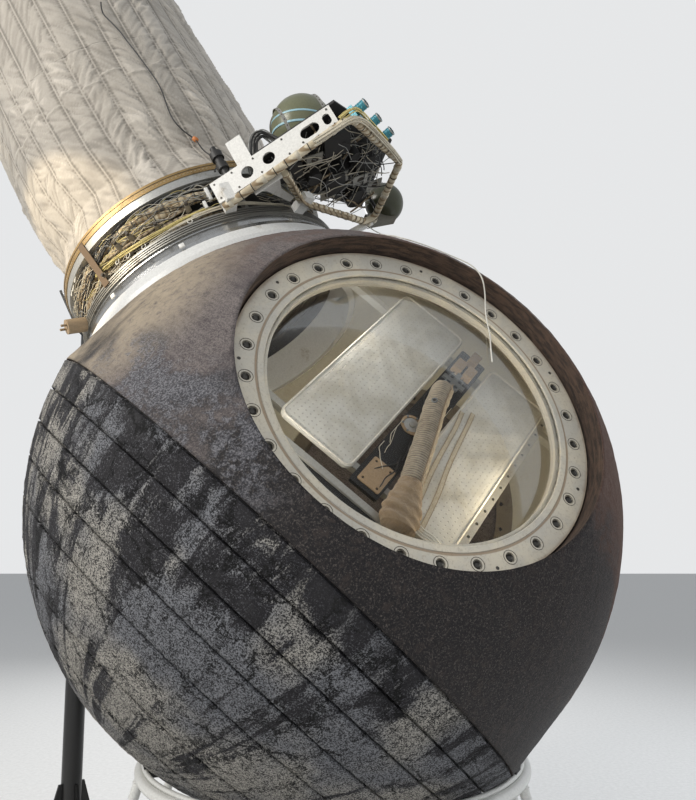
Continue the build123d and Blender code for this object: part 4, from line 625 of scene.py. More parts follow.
class Coat(Enum):
    """Finishes of this capsule, by what they are on."""

    WINDWARD = CharFinish()
    LEEWARD = LeeFinish()
    RECESS = RecessFinish()
    RING = RingFinish()
    DOME = ClearFinish()
    SEAT = PaintFinish("hatch_seat_metal", (0.20, 0.17, 0.13), (0.06, 0.04, 0.03), 0.7, metallic=0.4)
    WHITE = PaintFinish("white_paint", (0.74, 0.73, 0.69), (0.36, 0.31, 0.23), 0.42, (0.20, 0.18, 0.16), 0.22,
                        0.38)
    COLLAR = PaintFinish("collar_paint", (0.66, 0.66, 0.64), (0.34, 0.30, 0.24), 0.4, (0.30, 0.29, 0.27), 0.12, 0.34)
    POLISHED = PaintFinish("polished_metal", (0.56, 0.56, 0.55), (0.20, 0.17, 0.13), 0.5, (0.3, 0.3, 0.3), 0.05,
                           0.22, 0.95, 0.0002)
    RIBBED = PaintFinish("bay_ring_metal", (0.30, 0.29, 0.26), (0.10, 0.08, 0.06), 0.6, roughness=0.40, metallic=0.7)
    BAND = PaintFinish("band_metal", (0.44, 0.44, 0.42), (0.16, 0.14, 0.10), 0.6, roughness=0.40, metallic=0.6)
    DARK = PaintFinish("bay_dark", (0.022, 0.021, 0.020), (0.05, 0.045, 0.04), 0.4, (0.10, 0.10, 0.10), 0.15, 0.55)
    TAPED = BandedFinish("taped_tube", (0.50, 0.42, 0.28), (0.29, 0.21, 0.12), 0.030, "X", 0.0006, AIRLOCK)
    FRAME_TAPE = BandedFinish("frame_tape", (0.60, 0.53, 0.39), (0.26, 0.19, 0.11), 0.024, "Y", 0.0009, AIRLOCK)
    CANISTER = PaintFinish("canister_metal", (0.24, 0.21, 0.16), (0.08, 0.06, 0.04), 0.6, roughness=0.42,
                           metallic=0.5)
    VALVE = PaintFinish("valve_paint", (0.27, 0.20, 0.125), (0.13, 0.09, 0.05), 0.4, roughness=0.45)
    GOLD = PaintFinish("gold_band", (0.34, 0.23, 0.10), (0.11, 0.07, 0.03), 0.6, roughness=0.42, metallic=0.6)
    SLEEVE = ClothFinish("sleeve_cloth", (0.415, 0.380, 0.330), (0.300, 0.270, 0.225), 520.0, 0.0003, AIRLOCK, 0.5,
                         True)
    TOP = PaintFinish("top_metal", (0.52, 0.52, 0.50), (0.25, 0.22, 0.18), 0.35, roughness=0.36, metallic=0.6)
    PIN = PaintFinish("pin_steel", (0.45, 0.45, 0.45), dirt=0.3, roughness=0.3, metallic=0.9)
    OLIVE = PaintFinish("bottle_green", (0.150, 0.155, 0.090), (0.07, 0.065, 0.04), 0.45, (0.26, 0.25, 0.20), 0.1,
                        0.30)
    DARK_OLIVE = PaintFinish("bottle_dark", (0.050, 0.052, 0.030), (0.03, 0.025, 0.02), 0.5, (0.16, 0.15, 0.12),
                             0.12, 0.28)
    STRIPE = PaintFinish("stripe_blue", (0.33, 0.53, 0.60), (0.18, 0.22, 0.20), 0.35, (0.150, 0.155, 0.090), 0.25,
                         0.36)
    STRAP = PaintFinish("strap_metal", (0.16, 0.15, 0.12), dirt=0.5, roughness=0.5, metallic=0.4)
    BLUE = PaintFinish("connector_blue", (0.055, 0.255, 0.315), (0.03, 0.07, 0.08), 0.3, (0.4, 0.42, 0.42), 0.14,
                       0.30, 0.25)
    STAND = PaintFinish("stand_paint", (0.66, 0.66, 0.63), (0.32, 0.29, 0.24), 0.25, (0.25, 0.24, 0.22), 0.10, 0.28)
    WOOD = WoodFinish()
    RUBBER = PaintFinish("pad_rubber", (0.030, 0.030, 0.030), (0.08, 0.075, 0.07), 0.4, chipped=0.0, roughness=0.7)
    COLUMN = PaintFinish("column_paint", (0.012, 0.012, 0.012), (0.06, 0.055, 0.05), 0.25, (0.15, 0.15, 0.15), 0.05,
                         0.32)
    PANEL = DottedCloth("panel_cloth")
    LINER = PaintFinish("liner_cloth", (0.52, 0.49, 0.40), (0.34, 0.25, 0.13), 0.4, chipped=0.0, roughness=0.55,
                        grain=0.0008)
    RAIL = PaintFinish("rail_metal", (0.40, 0.39, 0.35), (0.12, 0.10, 0.07), 0.5, roughness=0.38, metallic=0.6)
    BLACK = PaintFinish("cabin_dark", (0.014, 0.013, 0.012), (0.04, 0.035, 0.03), 0.4, chipped=0.0, roughness=0.6)
    FITTING = PaintFinish("spine_fitting", (0.33, 0.23, 0.13), (0.12, 0.08, 0.05), 0.5, roughness=0.5)
    BUCKLE = PaintFinish("buckle_metal", (0.20, 0.21, 0.21), (0.09, 0.08, 0.07), 0.4, roughness=0.36, metallic=0.6)
    HOSE = ClothFinish("hose_cloth", (0.31, 0.265, 0.195), (0.15, 0.115, 0.075), 900.0, 0.0004, CABIN, 0.5, True)
    CUFF = ClothFinish("cuff_cloth", (0.27, 0.195, 0.115), (0.12, 0.080, 0.045), 700.0, 0.0005, CABIN, 0.5)
    YELLOW = PaintFinish("wire_yellow", (0.60, 0.50, 0.20), (0.30, 0.20, 0.07), 0.4, chipped=0.0, roughness=0.5)
    CREAM = PaintFinish("wire_cream", (0.56, 0.51, 0.40), (0.24, 0.18, 0.11), 0.45, chipped=0.0, roughness=0.5)
    BLACK_WIRE = PaintFinish("wire_black", (0.022, 0.021, 0.020), chipped=0.0, roughness=0.45)
    BOLT = PaintFinish("bolt_steel", (0.10, 0.095, 0.085), (0.03, 0.025, 0.02), 0.5, roughness=0.38, metallic=0.7)
    LEAD_WHITE = PaintFinish("lead_white", (0.70, 0.68, 0.61), (0.40, 0.35, 0.27), 0.4, chipped=0.0, roughness=0.5)
    # dark marks, seams and socket faces, and the painted shade in holes
    MARK = PaintFinish("dark_mark_and_hole_shade", (0.045, 0.035, 0.025), chipped=0.0, roughness=0.6)
    OLD_TAPE = BandedFinish("old_tape", (0.31, 0.25, 0.165), (0.16, 0.115, 0.07), 0.026, "X", 0.0006, AIRLOCK)
    GREY_WIRE = PaintFinish("wire_grey", (0.33, 0.33, 0.31), (0.13, 0.11, 0.09), 0.45, chipped=0.0, roughness=0.5)
    WELT = PaintFinish("welt_cloth", (0.58, 0.55, 0.48), (0.30, 0.25, 0.18), 0.45, chipped=0.0, roughness=0.7)
    WEBBING = ClothFinish("webbing_cloth", (0.50, 0.45, 0.34), (0.30, 0.22, 0.12), 1400.0, 0.0003, CABIN, 0.4)
    STRIPE_SEAM = PaintFinish("bottle_seam", (0.26, 0.27, 0.17), (0.09, 0.08, 0.05), 0.4, roughness=0.4)
    ORANGE_BROWN = PaintFinish("strap_cloth", (0.12, 0.075, 0.038), (0.13, 0.07, 0.03), 0.5, chipped=0.0,
                               roughness=0.7)
    ORANGE = PaintFinish("orange_tape", (0.52, 0.18, 0.05), (0.25, 0.09, 0.03), 0.3, chipped=0.0, roughness=0.5)

    @property
    def material(self) -> bpy.types.Material:
        """The finish's material."""
        return self.value.material()


def keep(mesh: bmesh.types.BMesh, name: str, coat: Coat, outwards: bool = True) -> bpy.types.Object:
    """Turns a bmesh into a finished, smooth piece of the object.

    Args:
        mesh: the bmesh, in the row frame; it is freed.
        name: the piece's name.
        coat: its finish.
        outwards: whether the normals are worked out again.

    Returns:
        The new object.
    """
    if outwards:
        bmesh.ops.recalc_face_normals(mesh, faces=mesh.faces)
    for face in mesh.faces:
        face.smooth = True
    data = bpy.data.meshes.new(name)
    mesh.to_mesh(data)
    mesh.free()
    data.materials.append(coat.material)
    piece = placed(bpy.data.objects.new(name, data))
    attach(piece, CAPSULE)
    log.info("%s: %d faces", name, len(data.polygons))
    return piece


def sharpen(piece: bpy.types.Object, angle: float = 35.0) -> bpy.types.Object:
    """Marks a smooth piece's edges sharp where they turn by more than an angle in degrees."""
    limit = radians(angle)
    mesh = bmesh.new()
    mesh.from_mesh(piece.data)
    for edge in mesh.edges:
        edge.smooth = len(edge.link_faces) == 2 and edge.calc_face_angle(0.0) < limit
    mesh.to_mesh(piece.data)
    mesh.free()
    return piece


def drawn(name: str, routes: Sequence[Sequence[Vector]], depth: float, radii: Sequence[float], facets: int,
          steps: int) -> bpy.types.Object:
    """A curve object with one smooth line through each route's control points.

    Args:
        name: the object's name.
        routes: each line's control points.
        depth: the bevel's depth.
        radii: each line's factor of the depth.
        facets: the bevel's resolution.
        steps: pieces of the line from point to point.

    Returns:
        The new object.
    """
    curve = bpy.data.curves.new(name, "CURVE")
    curve.dimensions = "3D"
    curve.resolution_u = steps
    curve.bevel_depth = depth
    curve.bevel_resolution = facets
    curve.use_fill_caps = True
    for route, size in zip(routes, radii):
        spline = curve.splines.new("NURBS")
        spline.points.add(len(route) - 1)
        for point, place in zip(spline.points, route):
            point.co = (*place, 1.0)
            point.radius = size
        spline.order_u = 3
        spline.use_endpoint_u = True
    return placed(bpy.data.objects.new(name, curve))


def tubes(name: str, routes: Sequence[Sequence[Vector]], radius: float, coat: Coat, sides: int = 6,
          steps: int = 3) -> bpy.types.Object:
    """Round tubes along smooth routes, joined into one mesh.

    Args:
        name: the piece's name.
        routes: each tube's points.
        radius: the tubes' radius.
        coat: their finish.
        sides: sides of a tube.
        steps: pieces of the curve from point to point.

    Returns:
        The new object.
    """
    holder = drawn(name + "_line", routes, 1.0, [radius] * len(routes), max(0, sides // 2 - 2), steps)
    bpy.context.view_layer.update()
    data = bpy.data.meshes.new_from_object(holder.evaluated_get(bpy.context.evaluated_depsgraph_get()))
    bpy.data.objects.remove(holder)
    mesh = bmesh.new()
    mesh.from_mesh(data)
    bpy.data.meshes.remove(data)
    return keep(mesh, name, coat)


def moved(x: float, y: float, z: float) -> Matrix:
    """A move."""
    return Matrix.Translation((x, y, z))


def turned(angle: float, about: str = "Z") -> Matrix:
    """A turn by an angle in degrees about a local axis."""
    return Matrix.Rotation(radians(angle), 4, about)


def along(ahead: Vector) -> Matrix:
    """A turn of local Z into a direction."""
    return ahead.to_track_quat("Z", "Y").to_matrix().to_4x4()


def circle(radius: float, count: int) -> list[Place]:
    """Points evenly spaced on a circle."""
    turns = [2.0 * pi * step / count for step in range(count)]
    return [(radius * cos(turn), radius * sin(turn)) for turn in turns]


def skin(mesh: bmesh.types.BMesh, loops: Sequence[Sequence[Point]], place: Matrix = Matrix(),
         closed: bool = False) -> None:
    """Joins closed loops of points into a tube with flat ends, or into a ring.

    Args:
        mesh: the bmesh that it goes to.
        loops: each loop's points, the same number in each.
        place: the loops' place.
        closed: whether the last loop is joined to the first.
    """
    made = [[mesh.verts.new(place @ Vector(point)) for point in loop] for loop in loops]
    for first, second in zip(made, (*made[1:], made[0]) if closed else made[1:]):
        for step, vert in enumerate(first):
            after = (step + 1) % len(first)
            mesh.faces.new((vert, first[after], second[after], second[step]))
    if not closed:
        mesh.faces.new(list(reversed(made[0])))
        mesh.faces.new(made[-1])


def rings(mesh: bmesh.types.BMesh, places: Sequence[Matrix], outlines: Sequence[Sequence[Point]]) -> None:
    """Joins closed outlines, each in its own place, into a tube with flat ends."""
    skin(mesh, [[place @ Vector(point) for point in outline] for place, outline in zip(places, outlines)])


def stations(route: Sequence[Vector], steps: int) -> list[Matrix]:
    """Places along a smooth line through the middle of a route, with local Z along it.

    Args:
        route: the route's points.
        steps: how many places there are.

    Returns:
        The places, from the route's start to its end.
    """
    dense = [route[0]]
    for before, place, after in zip(route, route[1:], route[2:]):
        start, end = (before + place) / 2.0, (place + after) / 2.0
        dense += [start.lerp(place, share).lerp(place.lerp(end, share), share) for share in (0.0, 0.25, 0.5, 0.75)]
    dense.append(route[-1])
    lengths = [0.0]
    for first, second in zip(dense, dense[1:]):
        lengths.append(lengths[-1] + (second - first).length)
    places = []
    for step in range(steps):
        want = lengths[-1] * step / (steps - 1)
        at = next((index for index, length in enumerate(lengths) if length >= want and index), len(lengths) - 1)
        share = (want - lengths[at - 1]) / max(lengths[at] - lengths[at - 1], 1e-9)
        ahead = (dense[at] - dense[at - 1]).normalized()
        across = HATCH.outward.cross(ahead).normalized()
        turn = Matrix((across, ahead.cross(across), ahead)).transposed().to_4x4()
        places.append(Matrix.Translation(dense[at - 1].lerp(dense[at], share)) @ turn)
    return places


def discs(name: str, places: Sequence[Matrix], size: float, height: float, coat: Coat, sides: int = 16,
          taper: float = 0.92) -> bpy.types.Object:
    """Small round pieces that stand on their places, joined into one mesh.

    Args:
        name: the piece's name.
        places: where each one stands, with local Z along its axis.
        size: radius.
        height: height above the place.
        coat: the finish.
        sides: sides of each, 6 for a nut.
        taper: the top's radius as a share of the foot's.

    Returns:
        The new object.
    """
    mesh = bmesh.new()
    for place in places:
        bmesh.ops.create_cone(mesh, cap_ends=True, segments=sides, radius1=size, radius2=size * taper, depth=height,
                              matrix=place @ moved(0.0, 0.0, height / 2.0))
    return sharpen(keep(mesh, name, coat))


def hoops(name: str, places: Sequence[tuple[Matrix, float]], thickness: float, width: float, coat: Coat,
          sides: int = 20) -> bpy.types.Object:
    """Ties and collars round tubes: each place has local Z along the tube, and comes with the tube's radius."""
    mesh = bmesh.new()
    section = ((0.0, -0.5), (0.7, -0.42), (1.0, 0.0), (0.7, 0.42), (0.0, 0.5))
    for place, radius in places:
        skin(mesh, [[(x, y, shift * width) for x, y in circle(radius + out * thickness, sides)]
                    for out, shift in section], place, closed=True)
    return keep(mesh, name, coat)


def upright_on(axis: Axis, x: float, y: float, z: float, ahead: Vector) -> Matrix:
    """Place at a local point, with local Z along a direction in the axis's own frame."""
    return axis.matrix() @ moved(x, y, z) @ along(ahead)


def seat_on(axis: Axis, radius: float, angle: float, level: float) -> Matrix:
    """Place of a small piece at a radius and an angle about an axis, with its own local X pointing outwards."""
    return axis.matrix(level) @ turned(angle) @ moved(radius, 0.0, 0.0)


def placed(thing: bpy.types.Object) -> bpy.types.Object:
    """Links an object into the scene."""
    bpy.context.scene.collection.objects.link(thing)
    return thing


@dataclass(frozen=True)
class Lamp:
    """One lamp.

    Args:
        name: its name.
        kind: its type.
        place: where it is.
        target: what it faces, or None.
        power: its power, in watts.
        colour: its colour.
        settings: its other settings, by name.
        mirrored: whether gloss sees it.
    """

    name: str
    kind: str
    place: Point
    target: Point | None
    power: float
    colour: Colour
    settings: tuple[tuple[str, float], ...]
    mirrored: bool = True

    def build(self) -> None:
        """Makes the lamp."""
        data = bpy.data.lights.new(self.name, self.kind)
        data.energy = self.power
        data.color = self.colour
        for key, value in self.settings:
            setattr(data, key, value)
        lamp = placed(bpy.data.objects.new(self.name, data))
        lamp.location = self.place
        if self.target is not None:
            lamp.rotation_euler = (Vector(self.target) - Vector(self.place)).to_track_quat("-Z", "Y").to_euler()
        lamp.visible_glossy = self.mirrored


class Studio:
    """Camera, lamps, floor and backdrop."""

    camera_place: Point = (0.085, -3.080, 1.448)
    camera_pitch: float = 7.0
    focal_px: float = 738.3
    frame_px: tuple[int, int] = (696, 800)
    principal_row: float = 450.0
    sensor: float = 36.0
    backdrop: Colour = (0.86, 0.87, 0.88)
    backdrop_strength: float = 0.92
    sky: Colour = (0.93, 0.96, 1.0)
    sky_strength: float = 0.52
    middle: Point = (0.0, 0.0, 1.6)
    glow_radius: float = 0.585
    glow_level: float = 0.700

    def camera(self) -> None:
        """Places the camera at the photograph's viewpoint."""
        data = bpy.data.cameras.new("camera")
        data.sensor_width = self.sensor
        data.lens = self.focal_px / self.frame_px[1] * self.sensor
        data.shift_y = (self.principal_row - self.frame_px[1] / 2.0) / self.frame_px[1]
        data.dof.use_dof = False
        data.clip_start, data.clip_end = 0.05, 100.0
        view = placed(bpy.data.objects.new("camera", data))
        view.location = self.camera_place
        view.rotation_euler = (radians(90.0 + self.camera_pitch), 0.0, 0.0)
        bpy.context.scene.camera = view

    def lamps(self) -> None:
        """Adds four wide lamps, a low beam on the sleeve's foot, and the light that fills the cabin."""
        area = (("key", (-4.6, -2.9, 4.4), 2.4, 250.0, (1.0, 0.96, 0.90), True),
                ("front", (0.6, -6.0, 3.4), 3.4, 70.0, (0.97, 0.98, 1.0), False),
                ("side", (4.6, 1.2, 3.4), 2.4, 120.0, (0.93, 0.96, 1.0), False),
                ("back", (-1.0, 5.0, 4.2), 3.0, 160.0, (1.0, 1.0, 1.0), True))
        for name, place, size, power, colour, mirrored in area:
            Lamp(name, "AREA", place, self.middle, power, colour, (("size", size),), mirrored=mirrored).build()
        Lamp("low_sun", "SPOT", (-5.2, -3.4, 3.3), AIRLOCK.polar(0.62, -150.0, 1.40), 1150.0, (1.0, 0.84, 0.60),
             (("spot_size", radians(10.5)), ("spot_blend", 0.25), ("shadow_soft_size", 0.03))).build()
        for name, angle, power, colour in (("cabin_top", 120.0, 6.5, (1.0, 0.97, 0.92)),
                                           ("cabin_right", -30.0, 8.0, (1.0, 0.88, 0.66)),
                                           ("cabin_left", 205.0, 4.5, (1.0, 0.96, 0.90))):
            Lamp(name, "POINT", HATCH.polar(self.glow_radius, angle, self.glow_level), None, power, colour,
                 (("shadow_soft_size", 0.06),), mirrored=False).build()

    def floor(self) -> None:
        """Adds the pale floor, which keeps the object's shadow."""
        mesh = bmesh.new()
        bmesh.ops.create_grid(mesh, x_segments=2, y_segments=2, size=30.0)
        data = bpy.data.meshes.new("floor")
        mesh.to_mesh(data)
        mesh.free()
        sheet = Sheet("floor_paint")
        speckle = sheet.noise(40.0, 4.0, 0.7)
        colour = sheet.blend(sheet.spread(speckle, 0.3, 0.7), (0.60, 0.60, 0.59), (0.68, 0.68, 0.67))
        data.materials.append(sheet.dress(Base_Color=colour, Roughness=0.55))
        placed(bpy.data.objects.new("floor", data))

    def world(self) -> None:
        """Sets a plain pale surround: the camera and glass see the backdrop's colour."""
        world = bpy.data.worlds.new("surround")
        bpy.context.scene.world = world
        world.use_nodes = True
        tree = world.node_tree
        light = tree.nodes["Background"]
        seen = tree.nodes.new("ShaderNodeBackground")
        for node, colour, strength in ((light, self.sky, self.sky_strength),
                                       (seen, self.backdrop, self.backdrop_strength)):
            node.inputs["Color"].default_value = (*colour, 1.0)
            node.inputs["Strength"].default_value = strength
        path = tree.nodes.new("ShaderNodeLightPath")
        pick = tree.nodes.new("ShaderNodeMixShader")
        either = tree.nodes.new("ShaderNodeMath")
        either.operation = "MAXIMUM"
        for output, socket in ((path.outputs["Is Camera Ray"], either.inputs[0]),
                               (path.outputs["Is Transmission Ray"], either.inputs[1]),
                               (either.outputs[0], pick.inputs[0]), (light.outputs[0], pick.inputs[1]),
                               (seen.outputs[0], pick.inputs[2]),
                               (pick.outputs[0], tree.nodes["World Output"].inputs["Surface"])):
            tree.links.new(output, socket)

    def build(self) -> None:
        """Sets up the whole stage."""
        self.camera()
        self.world()
        self.floor()
        self.lamps()
        bpy.context.scene.view_settings.view_transform = "Standard"


@dataclass
class Leads:
    """The pale lead over the hatch ring and the dark one down the sleeve, on the routes of their solids."""

    white: tuple[Point, ...] = (
        (-0.034, 1.221, 0.5390), (-0.043, 1.172, 0.5724), (-0.051, 1.123, 0.6041), (-0.056, 1.073, 0.6386),
        (-0.061, 1.023, 0.6707), (-0.066, 0.975, 0.7042), (-0.070, 0.925, 0.7390), (-0.074, 0.878, 0.7719),
        (-0.075, 0.830, 0.8099), (-0.076, 0.783, 0.8473), (-0.079, 0.738, 0.8868), (-0.074, 0.691, 0.9235),
        (-0.026, 0.673, 0.9399), (0.031, 0.662, 0.9474), (0.089, 0.646, 0.9542), (0.146, 0.631, 0.9592),
        (0.203, 0.612, 0.9655), (0.249, 0.578, 0.9545), (0.276, 0.533, 0.9178), (0.281, 0.476, 0.8984),
        (0.278, 0.416, 0.9017), (0.274, 0.358, 0.9116), (0.260, 0.304, 0.9330), (0.243, 0.250, 0.9521),
        (0.228, 0.195, 0.9691), (0.219, 0.136, 0.9793))
    black: tuple[Point, ...] = (
        (0.1727, -0.6607, 1.2573), (0.1702, -0.6271, 1.2829), (0.2031, -0.5984, 1.3281), (0.2340, -0.5652, 1.3759),
        (0.2010, -0.5578, 1.4194), (0.1899, -0.5359, 1.4813), (0.1886, -0.5224, 1.5451), (0.1576, -0.5372, 1.5943),
        (0.1385, -0.5522, 1.6512), (0.1425, -0.5594, 1.7161), (0.1526, -0.5579, 1.7799), (0.1580, -0.5551, 1.8453),
        (0.1506, -0.5593, 1.9099), (0.1435, -0.5614, 1.9748), (0.1350, -0.5625, 2.0396), (0.1241, -0.5653, 2.1040),
        (0.1171, -0.5665, 2.1691), (0.1007, -0.5705, 2.2314), (0.0825, -0.5742, 2.2925), (0.1041, -0.5679, 2.3525))
    tag_at: int = 6

    def lead(self, name: str, axis: Axis, places: Sequence[Point], diameter: float, coat: Coat,
             slot: str) -> bpy.types.Object:
        """Makes one round lead on one smooth line.

        Args:
            name: the piece's name.
            axis: the frame of its points.
            places: its control points.
            diameter: its diameter, in metres.
            coat: its finish.
            slot: not used.

        Returns:
            The new curve object.
        """
        lead = drawn(name, [[axis.point(*place) for place in places]], diameter / 2.0, (1.0,), 2, 8)
        lead.data.materials.append(coat.material)
        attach(lead, CAPSULE)
        return lead

    def build(self) -> None:
        """Builds both leads and the dark one's tag."""
        white = self.lead("pale_line", HATCH, self.white, 0.005, Coat.LEAD_WHITE, "lead_white")
        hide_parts("white_lead")
        tuple(HATCH.point(*self.white[0]))
        black = self.lead("dark_line", AIRLOCK, self.black, 0.006, Coat.BLACK_WIRE, "lead_black")
        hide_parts("black_lead")
        place, after = (AIRLOCK.point(*self.black[index]) for index in (self.tag_at, self.tag_at + 1))
        tag = hoops("line_tag", [(Matrix.Translation(place.lerp(after, 0.05)) @ along(after - place), 0.0032)], 0.0075,
                    0.026, Coat.ORANGE, sides=16)
        tuple(AIRLOCK.point(*self.black[0]))


@dataclass
class Ball:
    """The two ablator halves, with a rough crust over the plain solids."""

    belt: float = 0.280
    cap_centre: float = 0.060
    seams: tuple[float, ...] = (-0.390, -0.500, -0.610, -0.720, -0.885, -0.985)
    seam_width: float = 0.008
    steps: int = 520
    cell: float = 0.0130
    hatch_radius: float = 0.640
    collar_radius: float = 0.664
    skirt: float = 0.004
    pole: float = 89.6

    @property
    def cap_radius(self) -> float:
        """Radius of the blunter windward sphere."""
        return hypot(BALL_RADIUS, self.belt + self.cap_centre)

    def band(self, mesh: bmesh.types.BMesh, arc_centre: float, radius: float, low: float, high: float) -> None:
        """Spins one band of the crust about the shield's axis.

        Args:
            mesh: the bmesh that it goes to.
            arc_centre: height of the arc's centre along the axis.
            radius: radius of the arc.
            low: the lower latitude of the band, in degrees.
            high: the higher latitude, in degrees.
        """
        pivot = SHIELD.point(0.0, 0.0, arc_centre)
        start = mesh.verts.new(SHIELD.point(radius * cos(radians(low)), 0.0, arc_centre + radius * sin(radians(low))))
        self.turn(mesh, start, pivot, radians(high - low), max(3, round(radians(high - low) * radius / self.cell)))

    def turn(self, mesh: bmesh.types.BMesh, start: bmesh.types.BMVert, pivot: Vector, angle: float,
             count: int) -> None:
        """Spins a point into a profile, and the profile into a full band."""
        bmesh.ops.spin(mesh, geom=[start], cent=pivot, axis=-SHIELD.basis.col[1], angle=angle, steps=count)
        edges = {edge for vert in self.chain(start) for edge in vert.link_edges}
        verts = {vert for edge in edges for vert in edge.verts}
        bmesh.ops.spin(mesh, geom=[*verts, *edges], cent=BALL_CENTRE, axis=SHIELD.outward, angle=2.0 * pi,
                       steps=self.steps, use_merge=True)

    def chain(self, start: bmesh.types.BMVert) -> list[bmesh.types.BMVert]:
        """The vertices joined to a start by edges."""
        found, waiting = [start], [start]
        seen = {start}
        while waiting:
            vert = waiting.pop()
            for edge in vert.link_edges:
                other = edge.other_vert(vert)
                if other not in seen:
                    seen.add(other)
                    found.append(other)
                    waiting.append(other)
        return found

    def open(self, mesh: bmesh.types.BMesh, axis: Axis, radius: float) -> None:
        """Cuts a round opening and draws its border onto the circle."""
        inside = [face for face in mesh.faces if self.within(face.calc_center_median(), axis, radius)]
        bmesh.ops.delete(mesh, geom=inside, context="FACES")
        for vert in mesh.verts:
            if vert.is_boundary and abs(self.flat(vert.co, axis) - radius) < 1.6 * self.cell \
                    and axis.local(vert.co).z > 0.0:
                local = axis.local(vert.co)
                flat = Vector((local.x, local.y)).normalized() * radius
                length = (vert.co - BALL_CENTRE).length
                vert.co = axis.point(flat.x, flat.y, sqrt(max(length * length - radius * radius, 0.0)))

    def flat(self, place: Vector, axis: Axis) -> float:
        """Distance of a point from an axis."""
        local = axis.local(place)
        return hypot(local.x, local.y)

    def within(self, place: Vector, axis: Axis, radius: float) -> bool:
        """Whether a point lies in a round opening."""
        return axis.local(place).z > 0.0 and self.flat(place, axis) < radius

    def roughen(self, mesh: bmesh.types.BMesh, lift: float, coarse: float, fine: float, seed: float) -> None:
        """Raises the crust above the solid by uneven noise, and turns its borders under.

        Args:
            mesh: the crust.
            lift: its least height over the solid, in metres.
            coarse: depth of the wide unevenness, in metres.
            fine: depth of the narrow unevenness, in metres.
            seed: shift of the noise.
        """
        shift = Vector((seed, seed, seed))
        for vert in mesh.verts:
            out = (vert.co - BALL_CENTRE).normalized()
            wide = noise.fractal(vert.co * 7.0 + shift, 0.8, 2.1, 4)
            narrow = noise.fractal(vert.co * 34.0 + shift, 0.9, 2.0, 3)
            height = lift + coarse * max(0.0, 0.5 + 0.5 * wide) + fine * max(-0.6, narrow)
            vert.co += out * max(0.0004, height)
        border = [edge for edge in mesh.edges if edge.is_boundary]
        added = bmesh.ops.extrude_edge_only(mesh, edges=border)["geom"]
        for vert in (item for item in added if isinstance(item, bmesh.types.BMVert)):
            vert.co -= (vert.co - BALL_CENTRE).normalized() * (self.skirt + lift)

    def latitude(self, height: float) -> float:
        """Latitude on the windward sphere of a height along the axis, in degrees."""
        return degrees(asin((height - self.cap_centre) / self.cap_radius))

    def windward(self) -> None:
        """Builds the windward crust in bands between the turned seams."""
        mesh = bmesh.new()
        half = self.seam_width / 2.0
        tops = [-self.belt - self.seam_width, *(seam - half for seam in self.seams)]
        bottoms = [*(seam + half for seam in self.seams), None]
        for top, bottom in zip(tops, bottoms):
            low = -self.pole if bottom is None else self.latitude(bottom)
            self.band(mesh, self.cap_centre, self.cap_radius, low, self.latitude(top))
        self.open(mesh, HATCH, self.hatch_radius)
        self.open(mesh, REAR, self.hatch_radius)
        self.roughen(mesh, 0.0008, 0.0040, 0.0022, 3.0)
        keep(mesh, "windward_crust", Coat.WINDWARD, outwards=False)

    def leeward(self) -> None:
        """Builds the leeward crust over the belt and the hemisphere, round its three openings."""
        mesh = bmesh.new()
        top = mesh.verts.new(SHIELD.point(BALL_RADIUS, 0.0, 0.0))
        rows = max(3, round(self.belt / self.cell))
        last = top
        for row in range(1, rows + 1):
            vert = mesh.verts.new(SHIELD.point(BALL_RADIUS, 0.0, -self.belt * row / rows))
            mesh.edges.new((last, vert))
            last = vert
        self.turn(mesh, top, BALL_CENTRE, radians(self.pole), round(radians(self.pole) * BALL_RADIUS / self.cell))
        for axis, radius in ((HATCH, self.hatch_radius), (REAR, self.hatch_radius), (AIRLOCK, self.collar_radius)):
            self.open(mesh, axis, radius)
        self.roughen(mesh, 0.0006, 0.0022, 0.0011, 11.0)
        keep(mesh, "leeward_crust", Coat.LEEWARD, outwards=False)

    def build(self) -> None:
        """Builds both crusts."""
        self.windward()
        self.leeward()


